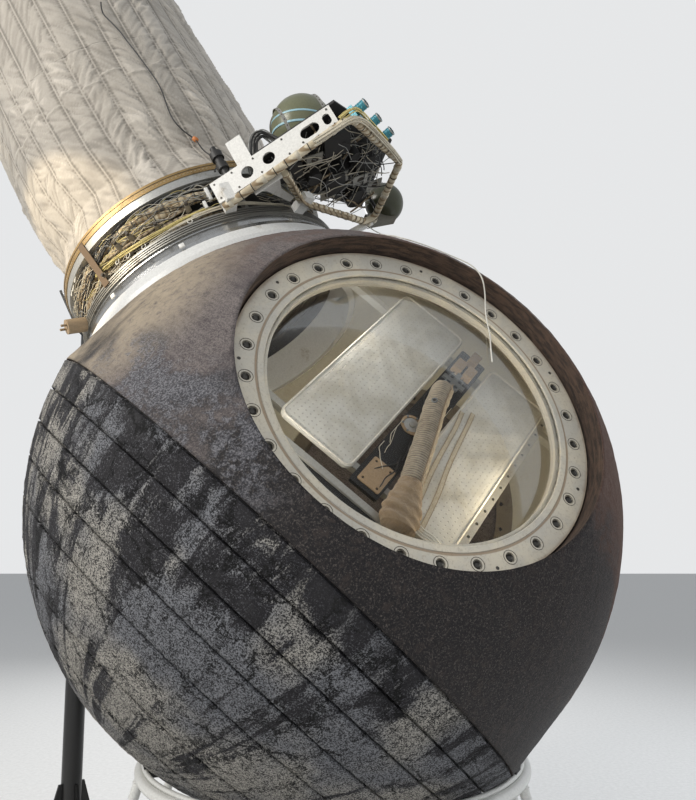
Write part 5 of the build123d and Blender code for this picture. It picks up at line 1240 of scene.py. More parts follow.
@dataclass
class Sleeve:
    """The stitched fabric sleeve: long gores, raised seams, slanting creases, puckers and a row of cross tucks."""

    gores: int = 36
    shares: tuple[float, ...] = (0.0, 0.028, 0.060, 0.11, 0.18, 0.27, 0.36, 0.45, 0.54, 0.63, 0.72, 0.81, 0.88, 0.94,
                                 0.972)
    wall: float = 0.012
    sink: float = 0.0185
    sections: tuple[Point, ...] = (
        (1.335, 0.5967, 0.0), (1.378, 0.5967, 0.0), (1.535, 0.548, -0.012), (1.700, 0.580, -0.030),
        (1.950, 0.585, -0.042), (2.500, 0.583, -0.054), (3.290, 0.585, -0.060))
    split_level: float = 2.150
    low_row: float = 0.0046
    high_row: float = 0.0064
    tuck_levels: tuple[float, ...] = (1.962, 2.640)
    puff_height: float = 0.0070
    crease_height: float = 0.0096
    pucker_height: float = 0.0016
    pucker_pitch: float = 0.0155
    seam_height: float = 0.0048
    tuck_height: float = 0.0055
    gather_depth: float = 0.0070

    def middle(self, level: float) -> tuple[float, float]:
        """Radius and shift of the centre at a level."""
        table = self.sections
        for (low, low_radius, low_shift), (high, high_radius, high_shift) in zip(table, table[1:]):
            if level <= high:
                share = max(0.0, (level - low) / (high - low))
                return low_radius + share * (high_radius - low_radius), low_shift + share * (high_shift - low_shift)
        return table[-1][1], table[-1][2]

    def relief(self, gore: int, share: float, level: float) -> tuple[float, float]:
        """Height of the cloth over its deepest surface in metres, and its fold from 0 to 1, which sets painted shade
        in the creases and painted highlights on the ridges.

        Args:
            gore: the gore's number.
            share: place across the gore, from 0 to 1.
            level: distance along the airlock's axis.

        Returns:
            The height and the fold, which sets the painted shade and highlights.
        """
        side = min(share, 1.0 - share)
        length = level - self.sections[0][0]
        key = gore * 7.31
        free = min(1.0, max(0.0, (length - 0.035) / 0.10))
        end = min(1.0, max(0.0, (self.sections[-1][0] - level) / 0.10))
        lean = 1.0 if noise.noise(Vector((key, length * 1.1, 9.2))) > -0.12 else -1.0
        slant = lean * (0.110 + 0.06 * noise.noise(Vector((key + 5.0, length * 1.6, 2.0))))
        along = length + slant * share + 0.012 * noise.noise(Vector((key, length * 9.0, share * 2.0)))
        ridged = 1.0 - abs(2.0 * noise.noise(Vector((key, along * 23.0, share * 0.9))))
        second = 1.0 - abs(2.0 * noise.noise(Vector((key + 40.0, along * 41.0, share * 1.7))))
        strength = 0.35 + 0.9 * max(0.0, 0.5 + 1.3 * noise.noise(Vector((key + 9.0, length * 3.1, share * 0.8))))
        crease = strength * (0.68 * ridged * ridged + 0.32 * second * second)
        hold = exp(-side / 0.11)
        wander = 1.1 * noise.noise(Vector((key, length * 11.0, 5.0))) + (0.25 if share < 0.5 else 0.0)
        pucker = hold * sin(2.0 * pi * (length / self.pucker_pitch + wander))
        puff = sin(pi * share) ** 0.55
        ridge = exp(-((side / 0.030) ** 2))
        tucks = self.tuck(gore, share, level)
        height = self.puff_height * puff * (0.4 + 0.6 * free * end)
        height += self.crease_height * min(1.25, crease) * min(1.0, 0.3 + 3.2 * side) * free
        height += self.pucker_height * pucker * free + self.seam_height * ridge + self.tuck_height * tucks
        gather = 0.5 + 0.5 * noise.noise(Vector((length * 2.2, gore * 0.42, 4.0)))
        height -= self.gather_depth * (1.0 - gather) * free * end
        # painted shade: a dark band beside each seam, used only in the fold value
        seam_side_shade = exp(-(((side - 0.085) / 0.035) ** 2))
        # the fold sets painted shade in creases and painted highlights on crests, seam ridges and tucks
        fold = 0.22 + 0.74 * crease * min(1.0, 0.35 + 3.0 * side) - 0.30 * seam_side_shade + 0.16 * pucker
        fold = max(fold, 0.66 * ridge, 0.85 * tucks)
        return height, min(1.0, max(0.0, fold))

    def tuck(self, gore: int, share: float, level: float) -> float:
        """Raised zigzag stitching across a gore, staggered from gore to gore, from 0 to 1."""
        best = 0.0
        for first in self.tuck_levels:
            at = first + 0.020 * noise.noise(Vector((gore * 3.7, first, 0.5))) + (0.016 if gore % 2 else -0.010)
            at += 0.006 * (1.0 - abs(2.0 * ((share * 4.0) % 1.0) - 1.0))
            best = max(best, exp(-(((level - at) / 0.0065) ** 2)))
        return best * min(1.0, 6.0 * min(share, 1.0 - share))

    def cloth(self, name: str, low: float, high: float, row: float) -> bpy.types.Object:
        """Builds a length of the sleeve.

        Args:
            name: the piece's name.
            low: its lower level.
            high: its upper level.
            row: spacing of its rows, in metres.

        Returns:
            The new object.
        """
        columns = len(self.shares)
        around = self.gores * columns
        rows = round((high - low) / row)
        mesh = bmesh.new()
        bmesh.ops.create_grid(mesh, x_segments=around, y_segments=rows, size=0.5)
        folds = mesh.verts.layers.float.new("fold")
        for vert in mesh.verts:
            step = round((vert.co.x + 0.5) * around)
            level = low + (vert.co.y + 0.5) * (high - low)
            gore, column = divmod(step, columns)
            share = self.shares[column]
            radius, shift = self.middle(level)
            # the stored fold sets the cloth's painted shade and painted highlights
            height, vert[folds] = self.relief(gore % self.gores, share, level)
            angle = 2.0 * pi * (gore + share) / self.gores
            reach = radius - self.sink + height
            vert.co = AIRLOCK.point(shift + reach * cos(angle), reach * sin(angle), level)
        bmesh.ops.remove_doubles(mesh, verts=mesh.verts, dist=0.0002)
        border = [edge for edge in mesh.edges if edge.is_boundary]
        added = bmesh.ops.extrude_edge_only(mesh, edges=border)["geom"]
        for vert in (item for item in added if isinstance(item, bmesh.types.BMVert)):
            local = AIRLOCK.local(vert.co)
            inward = Vector((local.x, local.y)).normalized() * self.wall
            vert.co = AIRLOCK.point(local.x - inward.x, local.y - inward.y, local.z)
        bmesh.ops.recalc_face_normals(mesh, faces=mesh.faces)
        return keep(mesh, name, Coat.SLEEVE, outwards=False)

    def build(self) -> None:
        """Builds the sleeve in two lengths, and hides the plain solid."""
        lower = self.cloth("sleeve_lower", self.sections[0][0], self.split_level, self.low_row)
        upper = self.cloth("sleeve_upper", self.split_level, self.sections[-1][0], self.high_row)
        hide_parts("airlock_sleeve", "sleeve_middle")
        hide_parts("sleeve_head")


@dataclass
class HatchRing:
    """Bolts, ring marks and small inserts of the hatch ring."""

    face_level: float = 0.874
    pocket_depth: float = 0.010
    circle: float = 0.585
    count: int = 30
    phase: float = 8.5
    washer: Place = (0.0142, 0.0035)
    head: Place = (0.0122, 0.0085)
    socket: float = 0.0045
    mark_radius: float = 0.0232
    insert_shift: float = 0.020

    def angles(self) -> list[float]:
        """Angle of each bolt, in degrees."""
        return [self.phase + step * 360.0 / self.count for step in range(self.count)]

    def bolts(self) -> None:
        """Cap screws with hexagon sockets, sunk in the pockets."""
        mesh = bmesh.new()
        for angle in self.angles():
            place = seat_on(HATCH, self.circle, angle, self.face_level - self.pocket_depth)
            for size, height in (self.washer, self.head):
                head = bmesh.ops.create_cone(mesh, cap_ends=True, segments=24, radius1=size, radius2=size * 0.93,
                                             depth=height, matrix=place @ moved(0.0, 0.0, height / 2.0))
            cap = max((face for vert in head["verts"] for face in vert.link_faces),
                      key=lambda face: (place.inverted() @ face.calc_center_median()).z)
            bmesh.ops.inset_region(mesh, faces=[cap], thickness=self.socket)
            bmesh.ops.translate(mesh, verts=cap.verts, vec=-HATCH.outward * self.socket)
        sharpen(keep(mesh, "hatch_bolts", Coat.BOLT))

    def marks(self) -> None:
        """Thin ring marks round the pockets."""
        routes = []
        for angle in self.angles():
            place = seat_on(HATCH, self.circle, angle, self.face_level + 0.0002)
            spots = circle(self.mark_radius, 15)
            routes.append([place @ Vector((x, y, 0.0)) for x, y in (*spots, spots[0])])
        tubes("pocket_marks", routes, 0.0010, Coat.MARK, sides=4, steps=2)

    def inserts(self) -> None:
        """Small blind inserts between some of the bolts."""
        mesh = bmesh.new()
        for step in (1, 6, 11, 14, 19, 23, 27):
            angle = self.phase + (step + 0.5) * 360.0 / self.count
            bmesh.ops.create_cone(mesh, cap_ends=True, segments=20, radius1=0.0065, radius2=0.0055, depth=0.0016,
                                  matrix=seat_on(HATCH, self.circle + self.insert_shift, angle, self.face_level))
        sharpen(keep(mesh, "hatch_inserts", Coat.BOLT))

    def build(self) -> None:
        """Builds the ring's small pieces."""
        self.bolts()
        self.marks()
        self.inserts()


@dataclass
class Bay:
    """What fills the equipment bay: taped tubes, ties, bunched and loose wires, clips, loops and the cloth's seam."""

    tubes_table: tuple[tuple[float, Coat, tuple[Point, ...]], ...] = (
        (0.0165, Coat.TAPED, ((-155, 1.262, 0.577), (-140, 1.266, 0.578), (-126, 1.272, 0.579), (-113, 1.274, 0.581),
         (-100, 1.268, 0.583), (-89, 1.259, 0.582), (-81, 1.252, 0.579), (-77, 1.243, 0.572))),
        (0.0155, Coat.TAPED, ((-208, 1.222, 0.576), (-190, 1.220, 0.576), (-170, 1.224, 0.577), (-150, 1.221, 0.577),
         (-135, 1.226, 0.577), (-120, 1.229, 0.578), (-106, 1.232, 0.581), (-94, 1.233, 0.582), (-86, 1.241, 0.580),
         (-82, 1.246, 0.574))),
        (0.0150, Coat.OLD_TAPE, ((-164, 1.184, 0.577), (-148, 1.180, 0.577), (-132, 1.186, 0.575),
         (-118, 1.181, 0.576), (-104, 1.187, 0.574), (-92, 1.183, 0.575), (-80, 1.180, 0.572))),
        (0.0140, Coat.OLD_TAPE, ((-188, 1.147, 0.574), (-165, 1.149, 0.575), (-142, 1.145, 0.575),
         (-120, 1.148, 0.575), (-98, 1.146, 0.574), (-84, 1.149, 0.575), (-70, 1.147, 0.573))),
        (0.0150, Coat.TAPED, ((20, 1.160, 0.574), (50, 1.164, 0.575), (85, 1.158, 0.575), (120, 1.163, 0.575),
         (150, 1.160, 0.574))),
        (0.0150, Coat.OLD_TAPE, ((-20, 1.240, 0.574), (15, 1.244, 0.575), (55, 1.236, 0.575), (95, 1.243, 0.575),
         (130, 1.240, 0.574))),
        (0.0130, Coat.OLD_TAPE, ((-50, 1.150, 0.515), (0, 1.152, 0.515), (50, 1.148, 0.515), (110, 1.150, 0.515))),
        (0.0130, Coat.TAPED, ((-30, 1.200, 0.515), (20, 1.202, 0.515), (70, 1.198, 0.515), (120, 1.200, 0.515))),
        (0.0115, Coat.OLD_TAPE, ((130, 1.262, 0.513), (185, 1.264, 0.513), (240, 1.260, 0.513), (300, 1.262, 0.513))),
    )
    bunches: tuple[tuple[str, Coat, float, int, float, tuple[Point, ...]], ...] = (
        ("yellow_wires", Coat.YELLOW, 0.0019, 15, 0.0090,
         ((-134, 1.200, 0.594), (-127, 1.188, 0.598), (-119, 1.177, 0.601), (-112, 1.165, 0.603), (-105, 1.159, 0.604),
          (-99, 1.156, 0.604), (-93, 1.157, 0.603), (-83, 1.166, 0.598), (-76, 1.160, 0.594))),
        ("cream_wires", Coat.CREAM, 0.0023, 14, 0.0095,
         ((-106, 1.140, 0.600), (-98, 1.143, 0.602), (-88, 1.152, 0.603), (-78, 1.158, 0.604), (-69, 1.157, 0.604),
          (-61, 1.145, 0.603), (-50, 1.143, 0.602), (-40, 1.147, 0.598))),
        ("tan_bunch", Coat.OLD_TAPE, 0.0042, 4, 0.0060,
         ((-160, 1.242, 0.586), (-146, 1.246, 0.590), (-134, 1.240, 0.592), (-124, 1.216, 0.594), (-116, 1.200, 0.594),
          (-106, 1.196, 0.592), (-96, 1.204, 0.590), (-88, 1.216, 0.586))),
        ("dark_bunch", Coat.BLACK_WIRE, 0.0024, 8, 0.0100,
         ((-158, 1.180, 0.594), (-147, 1.195, 0.596), (-136, 1.210, 0.598), (-126, 1.250, 0.598), (-116, 1.288, 0.594),
          (-104, 1.292, 0.590), (-92, 1.286, 0.588), (-80, 1.278, 0.584))),
    )
    pitch: float = 13.0
    seed: int = 51

    def ring(self, places: Iterable[Point]) -> list[Vector]:
        """Row points of angles, levels and reaches about the airlock."""
        return [AIRLOCK.polar(reach, angle, level) for angle, level, reach in places]

    def taped_tubes(self) -> None:
        """Tape-wrapped tubes that follow the bay's wall, each a little uneven."""
        random = Random(self.seed)
        first: bpy.types.Object | None = None
        for number, (radius, coat, places) in enumerate(self.tubes_table):
            mesh = bmesh.new()
            way = stations(self.ring(places), max(24, 10 * len(places)))
            phase = random.uniform(0.0, 6.0)
            outlines = []
            for step in range(len(way)):
                reach = radius * (1.0 + 0.05 * noise.noise(Vector((step * 0.55, phase, 0.0))))
                outlines.append([(x, y, 0.0) for x, y in circle(reach, 14)])
            rings(mesh, way, outlines)
            piece = keep(mesh, f"taped_tube_{number + 1}", coat)
            first = first or piece
        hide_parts("bay_conduits")

    def ties(self) -> None:
        """Dark lacing round the tubes, and pale clamps on some of them."""
        dark, pale = [], []
        random = Random(self.seed + 1)
        for radius, _, places in self.tubes_table[:6]:
            way = stations(self.ring(places), max(6, round(abs(places[-1][0] - places[0][0]) / self.pitch * 2.2)))
            for place in way[1:-1]:
                if random.random() < 0.85:
                    (pale if random.random() < 0.16 else dark).append((place, radius * 1.02))
        hoops("tube_lacing", dark, 0.0016, 0.0035, Coat.BLACK_WIRE, sides=14)
        hoops("tube_clamps", pale, 0.0030, 0.0140, Coat.CANISTER, sides=14)

    def bunched(self) -> None:
        """Wires that run together and leave their bunch here and there."""
        for name, coat, radius, count, loose, places in self.bunches:
            random = Random(name)
            routes = []
            for _ in range(count):
                shift = Vector((random.gauss(0.0, 0.45), random.gauss(0.0, 0.45)))
                route = []
                cut = random.choice((0, 0, 1, 2))
                for angle, level, reach in places[cut:len(places) - random.choice((0, 0, 1))]:
                    route.append((angle + random.uniform(-0.8, 0.8),
                                  level + loose * (shift.x + random.uniform(-0.5, 0.5)),
                                  min(0.611, reach + 0.6 * loose * (shift.y + random.uniform(-0.4, 0.4)))))
                routes.append(self.ring(route))
            tubes(name, routes, radius, coat)

    def loose(self) -> None:
        """Thin single wires that wander between the tubes, in four colours."""
        random = Random(self.seed + 2)
        kinds = ((Coat.CREAM, 44), (Coat.BLACK_WIRE, 30), (Coat.GREY_WIRE, 36), (Coat.YELLOW, 16))
        for coat, count in kinds:
            routes = []
            for _ in range(count):
                angle = random.uniform(-172.0, -34.0)
                level = random.uniform(1.142, 1.288)
                route = []
                for _ in range(random.randint(5, 9)):
                    route.append((angle, level, random.uniform(0.590, 0.605)))
                    angle += random.uniform(1.2, 5.5)
                    level = min(1.292, max(1.136, level + random.uniform(-0.030, 0.030)))
                routes.append(self.ring(route))
            tubes(f"loose_{coat.name.lower()}", routes, 0.0013, coat, sides=4)

    def clips(self) -> None:
        """Fittings and clips on the bay's wall, a clip on the collar, and loops."""
        places = [seat_on(AIRLOCK, reach, angle, level) @ turned(lean, "Y")
                  for angle, level, reach, lean in ((-111.6, 1.205, 0.592, 70), (-117.6, 1.206, 0.592, 62),
                                                    (-128.0, 1.150, 0.590, 80), (-101.0, 1.178, 0.590, 75),
                                                    (-88.0, 1.196, 0.588, 65), (-74.0, 1.196, 0.586, 80))]
        discs("bay_fittings", places, 0.0125, 0.026, Coat.CANISTER, sides=18, taper=0.8)
        discs("bay_fitting_ends", [place @ moved(0.0, 0.0, 0.0255) for place in places], 0.0075, 0.010,
              Coat.MARK, sides=14)
        clip = bmesh.new()
        for angle, level, reach, size in ((-78.5, 1.235, 0.592, (0.020, 0.015, 0.060)),
                                          (-81.5, 1.190, 0.594, (0.018, 0.013, 0.034)),
                                          (-96.0, 1.030, 0.6435, (0.008, 0.022, 0.018)),
                                          (-126.0, 1.030, 0.6435, (0.008, 0.022, 0.018)),
                                          (-42.0, 1.156, 0.600, (0.016, 0.020, 0.034))):
            place = seat_on(AIRLOCK, reach, angle, level)
            made = bmesh.ops.create_cube(clip, size=1.0, matrix=place @ Matrix.Diagonal((*size, 1.0)))
            edges = {edge for vert in made["verts"] for edge in vert.link_edges}
            bmesh.ops.bevel(clip, geom=list(edges), offset=0.0028, affect="EDGES", segments=2, profile=0.5,
                            material=-1)
        sharpen(keep(clip, "bay_clips", Coat.WHITE))
        loops = []
        for angle, level in ((-154.0, 1.300), (-150.5, 1.296), (-146.0, 1.303), (-121.0, 1.172), (-116.0, 1.160),
                             (-109.0, 1.150), (-90.0, 1.150)):
            loops.append(self.ring(((angle, level, 0.600), (angle - 0.8, level - 0.014, 0.608),
                                    (angle + 0.4, level - 0.026, 0.610), (angle + 1.6, level - 0.014, 0.608),
                                    (angle + 1.0, level, 0.600))))
        tubes("bay_loops", loops, 0.0018, Coat.LEAD_WHITE, steps=4)

    def strap(self) -> None:
        """Flat strap from the clamp down to the lower ring, and the stitched line along the cloth's clamp."""
        mesh = bmesh.new()
        angle = -133.0
        way = [(1.352, 0.6098), (1.334, 0.6102), (1.298, 0.6088), (1.240, 0.6080), (1.180, 0.6085), (1.134, 0.6125),
               (1.112, 0.6135)]
        skin(mesh, [[AIRLOCK.polar(reach + lift, angle + side + 18.0 * (way[0][0] - level), level)
                     for lift, side in ((0.0, -1.5), (0.0, 1.5), (0.0026, 1.5), (0.0026, -1.5))]
                    for level, reach in way])
        sharpen(keep(mesh, "bay_strap", Coat.ORANGE_BROWN))
        seam = [[(angle, 1.3565 + 0.0022 * noise.noise(Vector((angle * 0.21, 3.0, 0.0))), 0.6092)
                 for angle in range(start, start + 61, 3)] for start in range(-180, 180, 60)]
        tubes("clamp_seam", [self.ring(route) for route in seam], 0.0016, Coat.MARK, sides=4, steps=2)
        stitches = [self.ring(((turn, 1.3465, 0.6090), (turn + 0.35, 1.3468, 0.6098), (turn + 0.7, 1.3465, 0.6090)))
                    for turn in (step * 1.5 for step in range(240))]
        tubes("clamp_stitches", stitches, 0.0008, Coat.CREAM, sides=4, steps=1)

    def build(self) -> None:
        """Builds the bay's contents."""
        self.taped_tubes()
        self.ties()
        self.bunched()
        self.loose()
        self.clips()
        self.strap()


@dataclass
class Console:
    """Small pieces of the outrigger console: bundles, ties, sockets, bands, straps and the wires below the shelf."""

    outline: tuple[Place, ...] = ((0.360, -0.700), (0.660, -0.790), (0.915, -0.455), (0.785, -0.110),
                                                (0.455, -0.450), (0.372, -0.566))
    corner: Place = (0.678, -0.850)
    far: Place = (0.908, -0.456)
    bottle: Point = (0.590, -0.560, 1.368)
    bottle_radius: float = 0.128
    frame_level: float = 1.11475
    seed: int = 77

    def inside(self, x: float, y: float) -> bool:
        """Whether a place lies in the shelf's outline."""
        hits = 0
        for (ax, ay), (bx, by) in zip(self.outline, (*self.outline[1:], self.outline[0])):
            if (ay > y) != (by > y) and x < ax + (y - ay) * (bx - ax) / (by - ay):
                hits += 1
        return hits % 2 == 1

    def underside(self) -> None:
        """Thin wires that hang and curl under the shelf."""
        random = Random(self.seed)
        kinds = ((Coat.GREY_WIRE, 64, 0.0016), (Coat.BLACK_WIRE, 30, 0.0022), (Coat.CREAM, 44, 0.0018),
                 (Coat.OLD_TAPE, 8, 0.0042))
        for coat, count, radius in kinds:
            routes = []
            while len(routes) < count:
                x, y = random.uniform(0.36, 0.90), random.uniform(-0.79, -0.12)
                heading, level, route = random.uniform(0.0, 2.0 * pi), random.uniform(1.132, 1.205), []
                for _ in range(random.randint(5, 9)):
                    if self.inside(x, y):
                        route.append(AIRLOCK.point(x, y, level))
                    heading += random.uniform(-0.45, 0.45)
                    x, y = x + 0.034 * cos(heading), y + 0.034 * sin(heading)
                    level = min(1.212, max(1.118, level + random.uniform(-0.009, 0.009)))
                if len(route) >= 4:
                    routes.append(route)
            tubes(f"console_{coat.name.lower()}", routes, radius, coat, sides=4 if radius < 0.003 else 8)

    def bundles(self) -> None:
        """Bundles along the frame, round its corner and up to the valve."""
        table = (
            ("corner_cream", Coat.CREAM, 0.0034, 6, 0.0065, ((0.520, -0.790, 1.098), (0.600, -0.812, 1.097),
                                                             (0.672, -0.838, 1.098), (0.716, -0.812, 1.100),
                                                             (0.760, -0.738, 1.101), (0.812, -0.648, 1.100),
                                                             (0.862, -0.560, 1.099), (0.900, -0.478, 1.100))),
            ("corner_yellow", Coat.YELLOW, 0.0024, 6, 0.0075, ((0.640, -0.832, 1.125), (0.690, -0.858, 1.131),
                                                               (0.728, -0.812, 1.138), (0.766, -0.740, 1.140),
                                                               (0.806, -0.672, 1.138), (0.846, -0.600, 1.130))),
            ("upright_grey", Coat.GREY_WIRE, 0.0028, 9, 0.0120, ((0.300, -0.640, 1.200), (0.316, -0.636, 1.250),
                                                                 (0.336, -0.628, 1.300), (0.366, -0.640, 1.345),
                                                                 (0.408, -0.650, 1.350), (0.430, -0.640, 1.310),
                                                                 (0.446, -0.640, 1.262), (0.452, -0.636, 1.240))),
            ("upright_dark", Coat.BLACK_WIRE, 0.0034, 6, 0.0140, ((0.330, -0.676, 1.232), (0.346, -0.672, 1.272),
                                                                  (0.372, -0.668, 1.318), (0.404, -0.664, 1.330),
                                                                  (0.436, -0.668, 1.296), (0.452, -0.672, 1.244))),
            ("inner_tan", Coat.OLD_TAPE, 0.0055, 3, 0.0090, ((0.404, -0.672, 1.096), (0.424, -0.592, 1.092),
                                                             (0.450, -0.500, 1.092), (0.500, -0.430, 1.094),
                                                             (0.580, -0.344, 1.094), (0.668, -0.248, 1.096))),
        )
        for name, coat, radius, count, spread, places in table:
            random = Random(name)
            routes = []
            for _ in range(count):
                shift = [random.gauss(0.0, 0.6) * spread for _ in range(3)]
                routes.append([AIRLOCK.point(*(part + move + random.uniform(-0.3, 0.3) * spread
                                               for part, move in zip(place, shift))) for place in places])
            tubes(name, routes, radius, coat)

    def ties(self) -> None:
        """Lacing round the taped frame, and pale tape rings at its corners."""
        dark, pale = [], []
        corners = ((0.141, -0.633), (0.678, -0.826), (0.908, -0.456), (0.786, -0.106), (0.459, -0.467),
                   (0.398, -0.680))
        for (ax, ay), (bx, by) in zip(corners, corners[1:]):
            length = hypot(bx - ax, by - ay)
            ahead = Vector(((bx - ax) / length, (by - ay) / length, 0.0))
            count = max(3, round(length / 0.052))
            for step in range(count):
                at = 0.030 + (length - 0.060) * step / (count - 1)
                place = upright_on(AIRLOCK, ax + ahead.x * at, ay + ahead.y * at, self.frame_level, ahead)
                (pale if step % 3 == 0 else dark).append((place, 0.0149))
        hoops("frame_lacing", dark, 0.0018, 0.0040, Coat.BLACK_WIRE, sides=16)
        hoops("frame_rings", pale, 0.0024, 0.0180, Coat.CREAM, sides=16)

    def sockets(self) -> None:
        """Ribs, coupling rings and dark sockets on the three connectors."""
        run = Vector((self.far[0] - self.corner[0], self.far[1] - self.corner[1], 0.0))
        out = run.normalized().cross(UP)
        ribs, bright, ends = [], [], []
        for share in (0.16, 0.42, 0.68):
            for at in (0.010, 0.019, 0.028, 0.042, 0.0525, 0.0562):
                place = upright_on(AIRLOCK, self.corner[0] + run.x * share + out.x * at,
                                   self.corner[1] + run.y * share + out.y * at, 1.158, out)
                if at < 0.05:
                    ribs.append((place, 0.0181))
                elif at < 0.055:
                    bright.append((place, 0.0181))
                else:
                    ends.append(place)
        hoops("connector_ribs", ribs, 0.0012, 0.0040, Coat.BLUE)
        hoops("connector_rings", bright, 0.0020, 0.0060, Coat.BAND)
        discs("connector_sockets", ends, 0.0135, 0.0012, Coat.MARK, sides=24, taper=1.0)
        pins = [end @ moved(x, y, 0.0) for end in ends for x, y in circle(0.0070, 6)]
        discs("connector_pins", pins, 0.0013, 0.0030, Coat.BAND, sides=8)

    def bottle_bands(self) -> None:
        """Two pale blue bands, level with the floor, and a welded seam round the large bottle."""
        centre = AIRLOCK.point(*self.bottle)
        for name, height in (("bottle_band_upper", 0.0045), ("bottle_band_lower", -0.0355)):
            mesh = bmesh.new()
            loops = []
            for lift, shift in ((0.0003, -0.0042), (0.0009, -0.0036), (0.0009, 0.0036), (0.0003, 0.0042)):
                level = height + shift
                reach = sqrt((self.bottle_radius + lift) ** 2 - level * level)
                loops.append([centre + Vector((x, y, level + 0.004 * sin(2.0 * pi * step / 96 + 0.9)))
                              for step, (x, y) in enumerate(circle(reach, 96))])
            skin(mesh, loops, closed=True)
            keep(mesh, name, Coat.STRIPE)
        around = [centre + AIRLOCK.basis @ Vector((0.1281 * cos(radians(turn)), 0.1281 * sin(radians(turn)) * 0.30,
                                                   0.1281 * sin(radians(turn)) * 0.954)) for turn in range(0, 361, 10)]
        tubes("bottle_seam", [around], 0.0011, Coat.STRIPE_SEAM, steps=2)

    def bottle_straps(self) -> None:
        """Two grey strips that hold the large bottle, with rows of dark discs painted as the shade in their holes."""
        centre = AIRLOCK.point(*self.bottle)
        mesh = bmesh.new()
        holes = []
        for across, tilt in ((-0.62, 0.10), (0.66, -0.20)):
            middle = across * self.bottle_radius
            reach = sqrt(self.bottle_radius ** 2 - middle * middle)
            loops = []
            for turn in range(-50, 231, 7):
                spot = Vector((0.0, -cos(radians(turn)), sin(radians(turn))))
                sideways = middle + tilt * 0.02 * spot.z
                loops.append([centre + AIRLOCK.basis @ (Vector((sideways + side, 0.0, 0.0)) + spot * (reach + lift))
                              for side, lift in ((-0.007, 0.0039), (0.007, 0.0039), (0.007, 0.0057),
                                                 (-0.007, 0.0057))])
                if turn % 14 == 6:
                    local = Vector((sideways, 0.0, 0.0)) + spot * (reach + 0.0056)
                    holes.append(Matrix.Translation(centre + AIRLOCK.basis @ local) @ along(AIRLOCK.basis @ spot))
            skin(mesh, loops)
        sharpen(keep(mesh, "bottle_strips", Coat.RAIL))
        # dark discs painted as the shade in the strips' holes
        discs("bottle_strip_hole_shade", holes, 0.0026, 0.0005, Coat.MARK, sides=12, taper=1.0)

    def plates(self) -> None:
        """White gusset under the bar, pale plates with dark discs painted as the shade in round holes, and screws
        along the bar.
        """
        mesh = bmesh.new()
        self.slab(mesh, ((0.262, -0.640), (0.379, -0.668), (0.381, -0.592), (0.430, -0.506), (0.408, -0.492),
                         (0.320, -0.612)), 1.1235, 1.1280)
        self.slab(mesh, ((0.268, -0.652), (0.384, -0.686), (0.383, -0.680), (0.267, -0.646)), 1.100, 1.1280)
        sharpen(keep(mesh, "console_gusset", Coat.WHITE))
        pale = bmesh.new()
        spots = ((0.652, -0.470), (0.742, -0.402), (0.590, -0.400), (0.812, -0.330), (0.540, -0.640))
        for x, y in spots:
            self.slab(pale, ((x - 0.034, y - 0.030), (x + 0.036, y - 0.024), (x + 0.030, y + 0.034),
                             (x - 0.036, y + 0.028)), 1.1480, 1.1520)
        sharpen(keep(pale, "console_plates", Coat.RAIL))
        below = [upright_on(AIRLOCK, x, y, 1.1482, -UP) for x, y in spots]
        # dark discs painted as the shade in the plates' round holes
        discs("plate_hole_shade", below, 0.0155, 0.0010, Coat.MARK, sides=24, taper=1.0)
        bar = Vector((0.510, -0.153, 0.0)).normalized()
        face = Vector((bar.y, -bar.x, 0.0))
        screws = []
        for share, level in ((0.03, 1.212), (0.03, 1.146), (0.18, 1.214), (0.18, 1.142), (0.36, 1.214), (0.37, 1.142),
                             (0.60, 1.214), (0.60, 1.142), (0.72, 1.150), (0.97, 1.214), (0.97, 1.142)):
            at = Vector((0.131, -0.645, 0.0)) + bar * (share * 0.5325)
            screws.append(upright_on(AIRLOCK, at.x, at.y, level, face))
        discs("bar_screws", screws, 0.0042, 0.0022, Coat.BOLT, sides=14)

    def slab(self, mesh: bmesh.types.BMesh, outline: Sequence[Place], low: float, high: float) -> None:
        """A flat plate of an outline between two levels along the airlock's axis."""
        skin(mesh, [[AIRLOCK.point(x, y, level) for x, y in outline] for level in (low, high)])

    def build(self) -> None:
        """Builds the console's small pieces."""
        self.underside()
        self.bundles()
        self.ties()
        self.sockets()
        self.bottle_bands()
        self.bottle_straps()
        self.plates()


